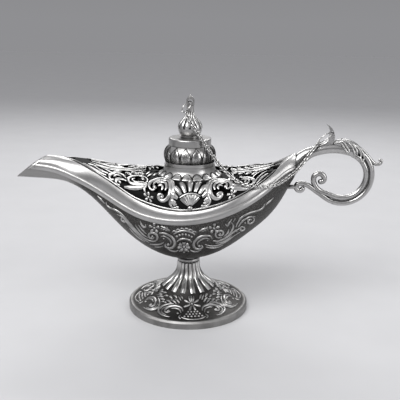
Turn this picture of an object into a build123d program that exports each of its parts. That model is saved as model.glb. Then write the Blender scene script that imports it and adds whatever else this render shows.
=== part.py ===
from build123d import *
import math
import os
from collections import namedtuple

# Boat-shaped oil lamp on a fluted foot, with a pierced cover and a lid on a chain.
# Millimetres. X runs from the spout (-X) to the handle (+X), Y away from the viewer, Z up.
# The origin is the middle of the foot's underside.

# Foot and stem
FOOT_RADIUS = 33.7
FOOT_RIM_WIDTH = 2.4
FOOT_RIM_HEIGHT = 4.0
FOOT_EDGE_ROUND = 0.9
FOOT_WALL = 2.2
FOOT_SLOPE_SAG = 1.6
FLUTE_FOOT_RADIUS = 12.0
FLUTE_FOOT_HEIGHT = 14.4
STEM_TOP_RADIUS = 5.6
STEM_HEIGHT = 27.0
STEM_CURVE_SAG = 2.2
STEM_CORE = 11.6
FLUTE_COUNT = 16
FLUTE_CUT_RADIUS = 0.75

# Ring between stem and bowl
COLLAR_HEIGHT = 2.6
COLLAR_RADIUS = 6.4

# Bolt that holds the foot to the bowl
BOLT_RADIUS = 2.0
BOLT_HEAD_RADIUS = 3.6
BOLT_HEAD_HEIGHT = 2.6
BOLT_HOLE_CLEARANCE = 0.2
THREAD_CLEARANCE = 0.05
BOLT_TAIL = 1.4
BOLT_WASHER_RADIUS = 4.6
BOLT_WASHER_THICKNESS = 0.8
BOLT_NUT_WIDTH = 7.0
BOLT_NUT_HEIGHT = 3.2
FLOOR_BOSS_RADIUS = 6.2
FLOOR_BOSS_HEIGHT = 2.8

# Bowl and band: wall, bead at the band's lower edge, deck under the rim
WALL = 1.2
BEAD_HEIGHT = 3.0
BEAD_PROUD = 0.7
BEAD_BULGE = 0.45
GROOVE_HEIGHT = 0.5
SEAM_GAP = 0.12
DECK = 2.4
LEDGE_DEPTH = 1.2
LEDGE_WIDTH = 1.6
END_WALL = 5.0
ELLIPSE_FULLNESS = 0.5523

# Hull stations. Heights are above the bowl's underside. For each cross-section along X:
# keel, seam between bowl and band, rim, half-widths at seam and rim, rise of the top, side bulge
Station = namedtuple("Station", "x keel seam rim seam_half rim_half crown bulge")
HULL = [
    Station(-94.5, 44.4, 49.9, 53.6, 2.6, 1.8, 1.0, 0.4),
    Station(-88.0, 44.2, 49.8, 54.2, 4.2, 2.2, 1.1, 0.6),
    Station(-80.0, 43.9, 49.3, 55.4, 5.0, 2.6, 1.1, 0.8),
    Station(-72.0, 43.3, 48.0, 55.6, 6.0, 2.9, 0.8, 0.9),
    Station(-64.0, 41.3, 45.5, 54.6, 8.2, 3.9, 0.2, 0.9),
    Station(-54.0, 35.3, 41.8, 51.6, 12.4, 10.0, 0.1, 0.6),
    Station(-42.0, 23.4, 36.5, 46.6, 18.6, 17.6, 0.1, 0.5),
    Station(-26.0, 8.9, 29.6, 38.3, 25.8, 24.7, 0.1, 0.4),
    Station(-4.0, 0.4, 27.1, 33.9, 30.0, 28.9, 0.1, 0.4),
    Station(18.0, 5.3, 30.9, 37.8, 28.2, 27.2, 0.1, 0.4),
    Station(34.0, 16.3, 37.4, 45.0, 21.7, 20.8, 0.1, 0.4),
    Station(45.0, 25.9, 44.0, 51.3, 13.8, 11.2, 0.1, 0.5),
    Station(52.0, 36.2, 48.4, 56.4, 7.6, 4.2, 0.3, 0.6),
    Station(57.0, 46.1, 49.9, 59.2, 4.8, 2.8, 0.8, 0.6),
]

# Slanted mouth of the spout: three points of its curve, X and height above the bowl's underside
MOUTH_TIP = (-95.4, 43.9)
MOUTH_MIDDLE = (-86.0, 51.5)
MOUTH_TOP = (-75.6, 57.6)

# Plan of the opening inside the rim: tips and half-widths along X
OPENING_TIPS = (-68.5, 51.5)
OPENING_HALF = [
    (-62.5, 3.3),
    (-54.0, 9.2),
    (-42.0, 16.8),
    (-26.0, 23.9),
    (-4.0, 28.1),
    (18.0, 26.3),
    (34.0, 19.9),
    (45.0, 10.2),
]

# Pierced cover: height of the crest above the bowl's underside, along X
COVER_CLEARANCE = 0.3
COVER_SEAT_GAP = 0.45
COVER_THICKNESS = 1.3
COVER_SHOULDER = 0.85
COVER_CREST = [
    (-62.5, 55.0),
    (-54.0, 52.6),
    (-42.0, 49.2),
    (-26.0, 47.0),
    (-4.0, 45.9),
    (18.0, 46.2),
    (34.0, 48.8),
    (45.0, 52.2),
]
PIERCE_PITCH = 6.2
PIERCE_LENGTH = 5.2
PIERCE_WIDTH = 2.6
PIERCE_TURN = 35.0
PIERCE_EDGE = 3.4

# Seat ring in the crown of the cover
SEAT_TOP = 46.8
SEAT_FLANGE_RADIUS = 16.9
SEAT_FLANGE_DEPTH = 4.6
SEAT_NECK_WALL = 2.0
SEAT_NECK_DEPTH = 6.4
SEAT_CLEARANCE = 0.3

# Lid, from the seat upwards
PLUG_RADIUS = 11.0
PLUG_WALL = 1.2
PLUG_DEPTH = 4.6
FLANGE_RADIUS = 17.4
FLANGE_EDGE = 1.0
FLANGE_HEIGHT = 6.2
FLANGE_TOP_RADIUS = 13.8
FLANGE_WAIST_PROUD = 0.7
FLANGE_PLATE = 2.0
SCALLOP_COUNT = 18
SCALLOP_DEPTH = 0.5
DRUM_RING_RADIUS = 13.5
DRUM_RING_HEIGHT = 1.9
DRUM_FOOT_RADIUS = 12.9
DRUM_BELLY_RADIUS = 13.8
DRUM_BELLY_HEIGHT = 5.0
DRUM_TOP_RADIUS = 11.2
DRUM_HEIGHT = 10.8
DRUM_WALL = 1.6
CAP_RADIUS = 11.5
CAP_HEIGHT = 3.8
CAP_EDGE_ROUND = 0.8
FINIAL_FOOT_RADIUS = 4.9
FINIAL_FOOT_HEIGHT = 1.2
FINIAL_BULB_RADIUS = 6.4
FINIAL_BULB_HEIGHT = 5.0
FINIAL_NECK_RADIUS = 1.9
FINIAL_NECK_HEIGHT = 14.2
FINIAL_DROP_RADIUS = 2.2
FINIAL_DROP_HEIGHT = 19.4
FINIAL_HEIGHT = 23.3
EYE_RADIUS = 1.25
EYE_CHEEK = 1.3
EYE_CHEEK_DEPTH = 2.4
STUD_RADIUS = 1.5
STUD_INTO_FINIAL = 5.0
STUD_SOCKET_SPARE = 0.6
STUD_TAIL = 1.0
LID_WASHER_RADIUS = 4.2
LID_WASHER_THICKNESS = 0.6
LID_NUT_WIDTH = 5.4
LID_NUT_HEIGHT = 2.4

# Handle, in the plane Y = 0: loop, strands and volutes. Heights are above the bowl's underside
LOOP_X = 84.2
LOOP_HEIGHT = 47.7
STRAND_RADIUS = 1.5
INNER_STRAND = 12.5
OUTER_STRAND = 15.6
WEB_THICKNESS = 1.2
STEM_BAR_RADIUS = 2.7
STEM_BAR_END_GAP = 0.25
STEM_BAR_END_RISE = 2.05
LOOP_START = 70.0
INNER_LEAVE = -110.0
INNER_RUN = 7.2
VOLUTE_ENTRY_BEND = 7.8
VOLUTE_BEND = 2.95
VOLUTE_END_BEND = 1.6
VOLUTE_END_TURN = 100.0
OUTER_SPLIT = -108.0
OUTER_LEAVE = -125.0
SCROLL_RUN = 11.5
SCROLL_BEND = 8.7
SCROLL_VOLUTE_BEND = 2.1
SCROLL_END_BEND = 1.6
SCROLL_END_TURN = 70.0
SCROLL_RADIUS = 1.4
PAD_RADIUS = 1.2
PAD_REACH = 7.0
ROOT_HALF_WIDTH = 4.2
ROOT_HALF_HEIGHT = 6.2
# Further sections of the root: share of the stem bar's length, depth under the bar, half-width, half-height
ROOT_SECTIONS = [
    (0.9, 1.1, 3.7, 5.3),
    (0.73, 0.0, 3.0, 3.5),
    (0.57, 0.1, 2.6, 2.75),
]

# Leaf over the top of the loop, on a wider arc than the loop, with its curled tail
LEAF_BACK = 4.5
LEAF_DROP = 0.9
LEAF_RADIUS = 19.8
LEAF_FROM = 92.0
LEAF_TO = 41.0
LEAF_WIDTH = 6.4
LEAF_THICKNESS = 2.6
LEAF_LOBES = 4
LEAF_NOTCH = 1.1
TAIL_RADIUS = 0.9
TAIL_FROM = 50.0
TAIL_TO = 30.0
TAIL_RUN = 0.8
TAIL_BEND = 3.8
TAIL_RISE = 10.0
TAIL_CURL = 1.4
TAIL_CURL_TURN = 190.0

# Upright thumb leaf on the stem of the handle
THUMB_FOOT_SHARE = 0.478
THUMB_FOOT_RISE = 1.05
THUMB_FOOT_WIDTH = 4.8
THUMB_HEIGHT = 12.6
THUMB_LEAN = 0.2
THUMB_BOW = 3.5
THUMB_THICKNESS = 2.6
THUMB_WIDTH = 3.0
THUMB_HOLE_RADIUS = 0.85
THUMB_HOLE_SHARE = 0.63

# Screw from inside the bowl into the handle's root
HANDLE_SCREW_RADIUS = 1.1
HANDLE_SCREW_HEAD_RADIUS = 1.9
HANDLE_SCREW_HEAD = 1.4
HANDLE_SCREW_LENGTH = 7.6
HANDLE_SCREW_RISE = 51.7

# Rings and chain
RING_WIRE = 0.32
FINIAL_RING_RADIUS = 3.6
FINIAL_RING_LEAN = 38.0
FINIAL_RING_TURN = -25.0
FINIAL_RING_HANG = 50.0
HOOK_RING_RADIUS = 4.6
HOOK_RING_HANG = (-0.77, -0.17, -0.61)
LINK_WIRE = 0.27
LINK_LENGTH = 2.7
LINK_WIDTH = 1.9
LINK_SLACK = 0.12
LINK_TURN = 45.0
CHAIN_BEND_SHARE = 0.45
# Route of the chain between its rings, chosen by eye
CHAIN_ROUTE = [
    (-1.6, -5.9, 109.2),
    (0.4, -8.2, 106.5),
    (2.7, -9.8, 103.3),
    (5.4, -10.8, 99.6),
    (8.1, -11.2, 95.4),
    (11.1, -11.6, 91.0),
    (14.5, -12.6, 86.7),
    (18.3, -14.6, 82.6),
    (22.2, -17.8, 79.4),
    (26.3, -20.9, 77.2),
    (30.4, -22.9, 76.4),
    (34.5, -23.4, 76.3),
    (38.7, -22.4, 75.8),
    (42.8, -19.9, 75.3),
    (46.8, -16.2, 75.9),
    (50.6, -12.6, 77.1),
    (54.0, -9.4, 79.1),
    (57.4, -7.4, 81.2),
    (60.1, -6.2, 84.0),
    (65.3, -4.6, 91.4),
    (67.5, -3.2, 93.9),
]

BOWL_Z = STEM_HEIGHT + COLLAR_HEIGHT
SEAT_Z = BOWL_Z + SEAT_TOP
FLANGE_TOP_Z = SEAT_Z + FLANGE_HEIGHT
DRUM_TOP_Z = FLANGE_TOP_Z + DRUM_HEIGHT
FINIAL_Z = DRUM_TOP_Z + CAP_HEIGHT
LOOP_Z = BOWL_Z + LOOP_HEIGHT
LEAF_Z = LOOP_Z - LEAF_DROP
BOLT_HOLE = BOLT_RADIUS + BOLT_HOLE_CLEARANCE
STUD_HOLE = STUD_RADIUS + BOLT_HOLE_CLEARANCE
FAR = 300.0


# Small helpers


def turned(*edges):
    """Solid of revolution about Z from a closed outline in the XZ plane."""
    return revolve(Face(Wire(edges)), Axis.Z)


def tube(radius, bore, low, high):
    """Upright tube between two heights."""
    ring = Pos(0, 0, low) * (Circle(radius) - Circle(bore))
    return extrude(ring, high - low)


def hex_nut(width, bore, low, high):
    """Hexagonal nut across flats WIDTH between two heights."""
    outline = RegularPolygon(width / 2, 6, major_radius=False) - Circle(bore)
    return extrude(Pos(0, 0, low) * outline, high - low)


def swept(path, radius):
    """Round bar along a path."""
    start = Plane(origin=path @ 0, z_dir=path % 0)
    return sweep(start * Circle(radius), path)


def in_plane(x, height):
    """Point of the plane Y = 0."""
    return Vector(x, 0, height)


def heading(degrees):
    """Direction in the plane Y = 0, counted from +X towards +Z."""
    return Vector(math.cos(math.radians(degrees)), 0, math.sin(math.radians(degrees)))


def on_loop(radius, degrees):
    """Point at a radius and an angle round the finger loop."""
    return in_plane(LOOP_X, LOOP_Z) + heading(degrees) * radius


def runs(*points):
    """Straight edges from point to point."""
    return [Line(a, b) for a, b in zip(points, points[1:])]


def arc_on(start, direction, bend, turn):
    """Arc from START along the heading DIRECTION; a positive turn goes from +X towards +Z."""
    side = 1 if turn > 0 else -1
    centre = start + heading(direction + 90 * side) * bend
    half = centre + heading(direction - 90 * side + turn / 2) * bend
    end = centre + heading(direction - 90 * side + turn) * bend
    return ThreePointArc(start, half, end)


def chain_of(start, direction, steps):
    """Path of straight runs and arcs. A step is ("run", length) or ("arc", bend, turn)."""
    edges = []
    for step in steps:
        if step[0] == "run":
            edges.append(Line(start, start + heading(direction) * step[1]))
        else:
            edges.append(arc_on(start, direction, step[1], step[2]))
            direction += step[2]
        start = edges[-1] @ 1
    return Wire(edges)


# Foot


def foot_slope(inset=0.0):
    """Outline of the foot's slope and the stem, from the rim inwards and up, moved in by INSET."""
    rim = in_plane(FOOT_RADIUS - FOOT_RIM_WIDTH - inset, FOOT_RIM_HEIGHT - inset)
    knee = in_plane(FLUTE_FOOT_RADIUS - inset / 2, FLUTE_FOOT_HEIGHT - inset)
    middle = (rim + knee) / 2 - in_plane(0, FOOT_SLOPE_SAG)
    return ThreePointArc(rim, middle, knee)


def stem_curve():
    """Outline of the trumpet-shaped stem, from the foot's slope to the collar."""
    knee = in_plane(FLUTE_FOOT_RADIUS, FLUTE_FOOT_HEIGHT)
    top = in_plane(STEM_TOP_RADIUS, STEM_HEIGHT)
    inwards = (top - knee).rotate(Axis.Y, -90).normalized()
    return ThreePointArc(knee, (knee + top) / 2 + inwards * STEM_CURVE_SAG, top)


def make_foot():
    slope = foot_slope()
    stem = stem_curve()
    rim_outer = in_plane(FOOT_RADIUS, FOOT_RIM_HEIGHT - FOOT_EDGE_ROUND)
    rim_top = in_plane(FOOT_RADIUS - FOOT_EDGE_ROUND, FOOT_RIM_HEIGHT)
    base = in_plane(0, 0)
    foot = turned(
        *runs(base, in_plane(FOOT_RADIUS, 0), rim_outer, rim_top, slope @ 0),
        slope,
        stem,
        *runs(stem @ 1, in_plane(0, STEM_HEIGHT), base),
    )
    under = foot_slope(FOOT_WALL)
    wide, narrow = (under @ 0).X, (under @ 1).X
    foot -= turned(
        *runs(base, in_plane(wide, 0), under @ 0),
        under,
        *runs(under @ 1, in_plane(narrow, STEM_CORE), in_plane(0, STEM_CORE), base),
    )
    foot -= Pos(0, 0, STEM_HEIGHT / 2) * Cylinder(BOLT_HOLE, STEM_HEIGHT)
    groove = swept(Wire([stem]), FLUTE_CUT_RADIUS) + Pos(stem @ 0) * Sphere(FLUTE_CUT_RADIUS)
    grooves = [Rot(0, 0, 360 * i / FLUTE_COUNT) * groove for i in range(FLUTE_COUNT)]
    return foot - grooves


# Hull of bowl, band and cavity


def keel_wall(i):
    """Height that one wall thickness takes at a station, where the keel climbs."""
    before = HULL[max(i - 1, 0)]
    after = HULL[min(i + 1, len(HULL) - 1)]
    slope = (after.keel - before.keel) / (after.x - before.x)
    return WALL * math.hypot(1, slope)


def at(x, y, height):
    """Point of the hull, with its height above the bowl's underside."""
    return Vector(x, y, BOWL_Z + height)


def bowl_section(s):
    """Cross-section of the bowl below the seam: two quarter ellipses and a straight top."""
    deep = (s.seam - s.keel) * ELLIPSE_FULLNESS
    wide = s.seam_half * ELLIPSE_FULLNESS
    left = at(s.x, -s.seam_half, s.seam)
    right = at(s.x, s.seam_half, s.seam)
    keel = at(s.x, 0, s.keel)
    down = Vector(0, 0, -deep)
    return Face(Wire([
        Bezier(left, left + down, keel - Vector(0, wide, 0), keel),
        Bezier(keel, keel + Vector(0, wide, 0), right + down, right),
        Line(right, left),
    ]))


def side_arc(low, high, bulge):
    """Flank of a section, bowed outwards by BULGE."""
    side = 1 if low.Y > 0 else -1
    return ThreePointArc(low, (low + high) / 2 + Vector(0, side * bulge, 0), high)


def band_section(s):
    """Cross-section of the band: bead, groove, flank and top."""
    foot = s.seam + SEAM_GAP
    bead_top = foot + BEAD_HEIGHT
    groove_top = bead_top + GROOVE_HEIGHT
    half = s.seam_half
    corners = {}
    for side in (-1, 1):
        corners[side] = (
            at(s.x, side * (half + BEAD_PROUD), foot),
            at(s.x, side * (half + BEAD_PROUD), bead_top),
            at(s.x, side * half, groove_top),
            at(s.x, side * s.rim_half, s.rim),
        )
    left, right = corners[-1], corners[1]
    return Face(Wire([
        Line(left[0], right[0]),
        side_arc(right[0], right[1], BEAD_BULGE),
        Line(right[1], right[2]),
        side_arc(right[2], right[3], s.bulge),
        ThreePointArc(right[3], at(s.x, 0, s.rim + s.crown), left[3]),
        side_arc(left[3], left[2], s.bulge),
        Line(left[2], left[1]),
        side_arc(left[1], left[0], BEAD_BULGE),
    ]))


def cavity_section(s, floor_wall):
    """Cross-section of the space inside bowl and band."""
    half = s.seam_half - WALL
    keel_z = s.keel + floor_wall
    top = s.rim - DECK
    shoulder = (s.seam + top) / 2
    top_half = max(s.rim_half - WALL, WALL / 2)
    deep = (s.seam - keel_z) * ELLIPSE_FULLNESS
    wide = half * ELLIPSE_FULLNESS
    left, right = at(s.x, -half, s.seam), at(s.x, half, s.seam)
    keel = at(s.x, 0, keel_z)
    down = Vector(0, 0, -deep)
    return Face(Wire([
        Bezier(left, left + down, keel - Vector(0, wide, 0), keel),
        Bezier(keel, keel + Vector(0, wide, 0), right + down, right),
        *runs(
            right,
            at(s.x, half, shoulder),
            at(s.x, top_half, top),
            at(s.x, -top_half, top),
            at(s.x, -half, shoulder),
            left,
        ),
    ]))


def make_cavity():
    faces = [cavity_section(s, keel_wall(i)) for i, s in enumerate(HULL[:-1])]
    through_tip = Pos(-END_WALL, 0, 0) * faces[0]
    return loft([through_tip] + faces)


def mouth_cutter():
    """Everything above and before the slanted mouth of the spout."""
    tip = at(MOUTH_TIP[0], 0, MOUTH_TIP[1])
    top = at(MOUTH_TOP[0], 0, MOUTH_TOP[1])
    edge = ThreePointArc(tip, at(MOUTH_MIDDLE[0], 0, MOUTH_MIDDLE[1]), top)
    outline = Face(Wire([edge, *runs(top, in_plane(top.X, FAR), in_plane(tip.X, FAR), tip)]))
    return extrude(outline, FAR, dir=(0, 1, 0), both=True)


def leaf_plan(inset):
    """Pointed leaf of the opening in plan, moved in by INSET."""
    tips = (OPENING_TIPS[0] + inset, OPENING_TIPS[1] - inset)
    inner = [(x, half - inset) for x, half in OPENING_HALF if half > inset]
    near = Spline([(tips[0], 0)] + [(x, -y) for x, y in inner] + [(tips[1], 0)])
    far = Spline([(tips[0], 0)] + inner + [(tips[1], 0)])
    return make_face([near, far])


def leaf_prism(inset):
    return extrude(leaf_plan(inset), FAR)


def above_ledge():
    """Space above the ledge on which the cover lies."""
    line = Spline([at(s.x, 0, s.rim - LEDGE_DEPTH) for s in HULL])
    first, last = line @ 0, line @ 1
    outline = Face(Wire([line, *runs(last, in_plane(last.X, FAR), in_plane(first.X, FAR), first)]))
    return extrude(outline, FAR, dir=(0, 1, 0), both=True)


def screw_axis():
    """Place of the handle screw: on the rear wall, along +X."""
    return Location((HULL[-2].x, 0, BOWL_Z + HANDLE_SCREW_RISE), (0, 90, 0))


def screw_hole():
    """Hole through the rear wall, with a pocket for the screw's head before it."""
    up = (Align.CENTER, Align.CENTER, Align.MIN)
    down = (Align.CENTER, Align.CENTER, Align.MAX)
    hole = Cylinder(HANDLE_SCREW_RADIUS + BOLT_HOLE_CLEARANCE, FAR, align=up)
    pocket = Cylinder(HANDLE_SCREW_HEAD_RADIUS + BOLT_HOLE_CLEARANCE, HANDLE_SCREW_HEAD, align=down)
    return screw_axis() * (hole + pocket)


def make_bowl(outer, cavity):
    boss_top = BOWL_Z + FLOOR_BOSS_HEIGHT
    boss = tube(FLOOR_BOSS_RADIUS, BOLT_HOLE, BOWL_Z - 1, boss_top) & outer
    bowl = outer - cavity - mouth_cutter() + boss
    return bowl - Pos(0, 0, BOWL_Z) * Cylinder(BOLT_HOLE, 4 * FLOOR_BOSS_HEIGHT) - screw_hole()


def make_band(cavity):
    band = loft([band_section(s) for s in HULL])
    band = band - cavity - mouth_cutter()
    band -= leaf_prism(LEDGE_WIDTH)
    band -= leaf_prism(0) & above_ledge()
    return band - screw_hole()


# Cover and seat


def rim_height(x):
    """Height of the rim at X, straight between the stations."""
    for a, b in zip(HULL, HULL[1:]):
        if a.x <= x <= b.x:
            return a.rim + (b.rim - a.rim) * (x - a.x) / (b.x - a.x)
    return HULL[-1].rim


def vault_section(x, half, crest, inset):
    """Arch from rim to rim with full shoulders, moved in by INSET and filled below."""
    edge = rim_height(x) - LEDGE_DEPTH + COVER_THICKNESS + COVER_SEAT_GAP - inset
    wide = half - COVER_CLEARANCE - inset
    left, right = at(x, -wide, edge), at(x, wide, edge)
    top = at(x, 0, crest - inset)
    up = Vector(0, 0, (top - left).Z * COVER_SHOULDER)
    out = Vector(0, wide * COVER_SHOULDER, 0)
    deep = Vector(0, 0, COVER_THICKNESS + inset)
    return Face(Wire([
        Bezier(left, left + up, top - out, top),
        Bezier(top, top + out, right + up, right),
        *runs(right, right - deep, left - deep, left),
    ]))


def vault(inset):
    faces = []
    for (x, half), (_, crest) in zip(OPENING_HALF, COVER_CREST):
        faces.append(vault_section(x, half, crest, inset))
    return loft(faces)


def piercings():
    """Rows of slanted slots, mirrored about the crest, clear of the rim and the seat."""
    slots = []
    first, last = OPENING_HALF[0][0], OPENING_HALF[-1][0]
    count = int((last - first) / PIERCE_PITCH)
    for i in range(count + 1):
        x = first + (i + 0.5) * (last - first) / (count + 1)
        half = opening_half(x) - PIERCE_EDGE
        rows = int(half / PIERCE_PITCH) + 1 if half > 0 else 0
        for j in range(rows):
            y = half - j * PIERCE_PITCH
            if y < PIERCE_WIDTH or math.hypot(x, y) < SEAT_FLANGE_RADIUS + PIERCE_LENGTH / 2:
                continue
            turn = PIERCE_TURN if (i + j) % 2 else -PIERCE_TURN
            for side in (-1, 1):
                slot = SlotOverall(PIERCE_LENGTH, PIERCE_WIDTH, rotation=side * turn)
                slots.append(extrude(Pos(x, side * y, 0) * slot, FAR))
    return slots


def opening_half(x):
    """Half-width of the opening at X, straight between its points."""
    for (xa, ya), (xb, yb) in zip(OPENING_HALF, OPENING_HALF[1:]):
        if xa <= x <= xb:
            return ya + (yb - ya) * (x - xa) / (xb - xa)
    return 0.0


def make_cover(vault_top):
    neck = PLUG_RADIUS + SEAT_CLEARANCE + SEAT_NECK_WALL + COVER_CLEARANCE
    cover = vault_top - vault(COVER_THICKNESS)
    cover = cover & leaf_prism(COVER_CLEARANCE)
    cover -= Pos(0, 0, SEAT_Z) * Cylinder(neck, FAR)
    return cover - piercings()


def make_seat_ring(vault_top):
    bore = PLUG_RADIUS + SEAT_CLEARANCE
    flange = tube(SEAT_FLANGE_RADIUS, bore, SEAT_Z - SEAT_FLANGE_DEPTH, SEAT_Z) - vault_top
    return flange + tube(bore + SEAT_NECK_WALL, bore, SEAT_Z - SEAT_NECK_DEPTH, SEAT_Z)


# Lid


def make_flange():
    under = FLANGE_TOP_Z - FLANGE_PLATE
    plug_in = PLUG_RADIUS - PLUG_WALL
    skirt_in = PLUG_RADIUS + SEAT_NECK_WALL
    plug_foot = SEAT_Z - PLUG_DEPTH
    edge_top = in_plane(FLANGE_RADIUS, SEAT_Z + FLANGE_EDGE)
    shoulder = in_plane(FLANGE_TOP_RADIUS, FLANGE_TOP_Z)
    waist = in_plane(FLANGE_TOP_RADIUS + FLANGE_WAIST_PROUD, SEAT_Z + FLANGE_HEIGHT / 2)
    outline = [
        in_plane(STUD_HOLE, FLANGE_TOP_Z),
        in_plane(STUD_HOLE, under),
        in_plane(plug_in, under),
        in_plane(plug_in, plug_foot),
        in_plane(PLUG_RADIUS, plug_foot),
        in_plane(PLUG_RADIUS, SEAT_Z + FLANGE_EDGE),
        in_plane(skirt_in, SEAT_Z + FLANGE_EDGE),
        in_plane(skirt_in, SEAT_Z),
        in_plane(FLANGE_RADIUS, SEAT_Z),
        edge_top,
    ]
    skirt = ThreePointArc(edge_top, waist, shoulder)
    flange = turned(*runs(*outline), skirt, Line(shoulder, outline[0]))
    notch = Cylinder(FLANGE_RADIUS * math.pi / SCALLOP_COUNT / 2, FLANGE_HEIGHT * 2)
    reach = FLANGE_RADIUS + FLANGE_RADIUS * math.pi / SCALLOP_COUNT / 2 - SCALLOP_DEPTH
    notches = [Rot(0, 0, 360 * (i + 0.5) / SCALLOP_COUNT) * Pos(reach, 0, SEAT_Z) * notch
               for i in range(SCALLOP_COUNT)]
    return flange - notches


def make_drum():
    ring_top = FLANGE_TOP_Z + DRUM_RING_HEIGHT
    belly = in_plane(DRUM_BELLY_RADIUS, FLANGE_TOP_Z + DRUM_BELLY_HEIGHT)
    foot = in_plane(DRUM_FOOT_RADIUS, ring_top)
    top = in_plane(DRUM_TOP_RADIUS, DRUM_TOP_Z)
    under = DRUM_TOP_Z - DRUM_WALL
    bore = DRUM_FOOT_RADIUS - DRUM_WALL
    inside = runs(
        in_plane(STUD_HOLE, DRUM_TOP_Z),
        in_plane(STUD_HOLE, under),
        in_plane(DRUM_TOP_RADIUS - DRUM_WALL, under),
        in_plane(bore, ring_top),
        in_plane(bore, FLANGE_TOP_Z),
        in_plane(DRUM_RING_RADIUS, FLANGE_TOP_Z),
        in_plane(DRUM_RING_RADIUS, ring_top),
        foot,
    )
    return turned(*inside, ThreePointArc(foot, belly, top), Line(top, inside[0] @ 0))


def make_cap():
    cap = tube(CAP_RADIUS, STUD_HOLE, DRUM_TOP_Z, FINIAL_Z)
    top_edge = cap.edges().filter_by(GeomType.CIRCLE).sort_by(lambda e: e.center().Z + e.radius)[-1]
    return fillet(top_edge, CAP_EDGE_ROUND)


def eye_z():
    return FINIAL_Z + FINIAL_DROP_HEIGHT


def make_finial():
    base = in_plane(FINIAL_FOOT_RADIUS, FINIAL_Z)
    foot = in_plane(FINIAL_FOOT_RADIUS, FINIAL_Z + FINIAL_FOOT_HEIGHT)
    bulb = in_plane(FINIAL_BULB_RADIUS, FINIAL_Z + FINIAL_BULB_HEIGHT)
    neck = in_plane(FINIAL_NECK_RADIUS, FINIAL_Z + FINIAL_NECK_HEIGHT)
    drop = in_plane(FINIAL_DROP_RADIUS, eye_z())
    tip = in_plane(0, FINIAL_Z + FINIAL_HEIGHT)
    up = Vector(0, 0, 1)
    finial = turned(
        Line(in_plane(0, FINIAL_Z), base),
        Line(base, foot),
        Spline([foot, bulb], tangents=[(1, 0, 1), up]),
        Spline([bulb, neck], tangents=[up, up]),
        Spline([neck, drop], tangents=[up, up]),
        Spline([drop, tip], tangents=[up, (-1, 0, 2)]),
        Line(tip, in_plane(0, FINIAL_Z)),
    )
    socket = STUD_INTO_FINIAL + STUD_SOCKET_SPARE
    finial -= Pos(0, 0, FINIAL_Z + socket / 2) * Cylinder(STUD_RADIUS + THREAD_CLEARANCE, socket)
    finial -= Pos(0, 0, eye_z()) * Rot(90, 0, 0) * Cylinder(EYE_RADIUS, FAR)
    cheek = Box(FAR, FAR, FAR, align=(Align.CENTER, Align.MIN, Align.MIN))
    for turn in (0, 180):
        finial -= Rot(0, 0, turn) * Pos(0, EYE_CHEEK, eye_z() - EYE_CHEEK_DEPTH) * cheek
    return finial


def lid_nut_top():
    return FLANGE_TOP_Z - FLANGE_PLATE - LID_WASHER_THICKNESS


def make_stud():
    low = lid_nut_top() - LID_NUT_HEIGHT - STUD_TAIL
    high = FINIAL_Z + STUD_INTO_FINIAL
    return Pos(0, 0, (low + high) / 2) * Cylinder(STUD_RADIUS, high - low)


# Handle


def stem_bar():
    """Arc of the handle's stem, from the loop back to the bowl's rear end."""
    start = on_loop((INNER_STRAND + OUTER_STRAND) / 2, LOOP_START)
    end = root_middle() + in_plane(STEM_BAR_END_GAP, STEM_BAR_END_RISE)
    return TangentArc(start, end, tangent=heading(LOOP_START + 90))


def root_middle():
    """Middle of the bowl's flat rear end."""
    end = HULL[-1]
    return at(end.x, 0, (end.keel + end.rim) / 2)


def sector(centre, inner, outer, start, end, width):
    """Flat ring sector between two radii and two angles, WIDTH wide about the plane Y = 0."""
    low = arc_on(centre + heading(start) * inner, start - 90, inner, end - start)
    high = arc_on(centre + heading(start) * outer, start - 90, outer, end - start)
    outline = Face(Wire([low, Line(low @ 1, high @ 1), high, Line(high @ 0, low @ 0)]))
    return extrude(outline, width / 2, dir=(0, 1, 0), both=True)


def oval(middle, wide, high):
    """Upright oval across X, of four quarter curves that a loft can match."""
    corners = [Vector(0, wide, 0), Vector(0, 0, high), Vector(0, -wide, 0), Vector(0, 0, -high)]
    quarters = []
    for a, b in zip(corners, corners[1:] + corners[:1]):
        handles = (a + b * ELLIPSE_FULLNESS, b + a * ELLIPSE_FULLNESS)
        quarters.append(Bezier(middle + a, middle + handles[0], middle + handles[1], middle + b))
    return Face(Wire(quarters))


def handle_root():
    """Taper from the flat rear end of the bowl into the stem of the handle."""
    bar = stem_bar()
    faces = [oval(root_middle(), ROOT_HALF_WIDTH, ROOT_HALF_HEIGHT)]
    for share, depth, wide, high in ROOT_SECTIONS:
        faces.append(oval(bar @ share - in_plane(0, depth), wide, high))
    return loft(faces)


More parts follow.
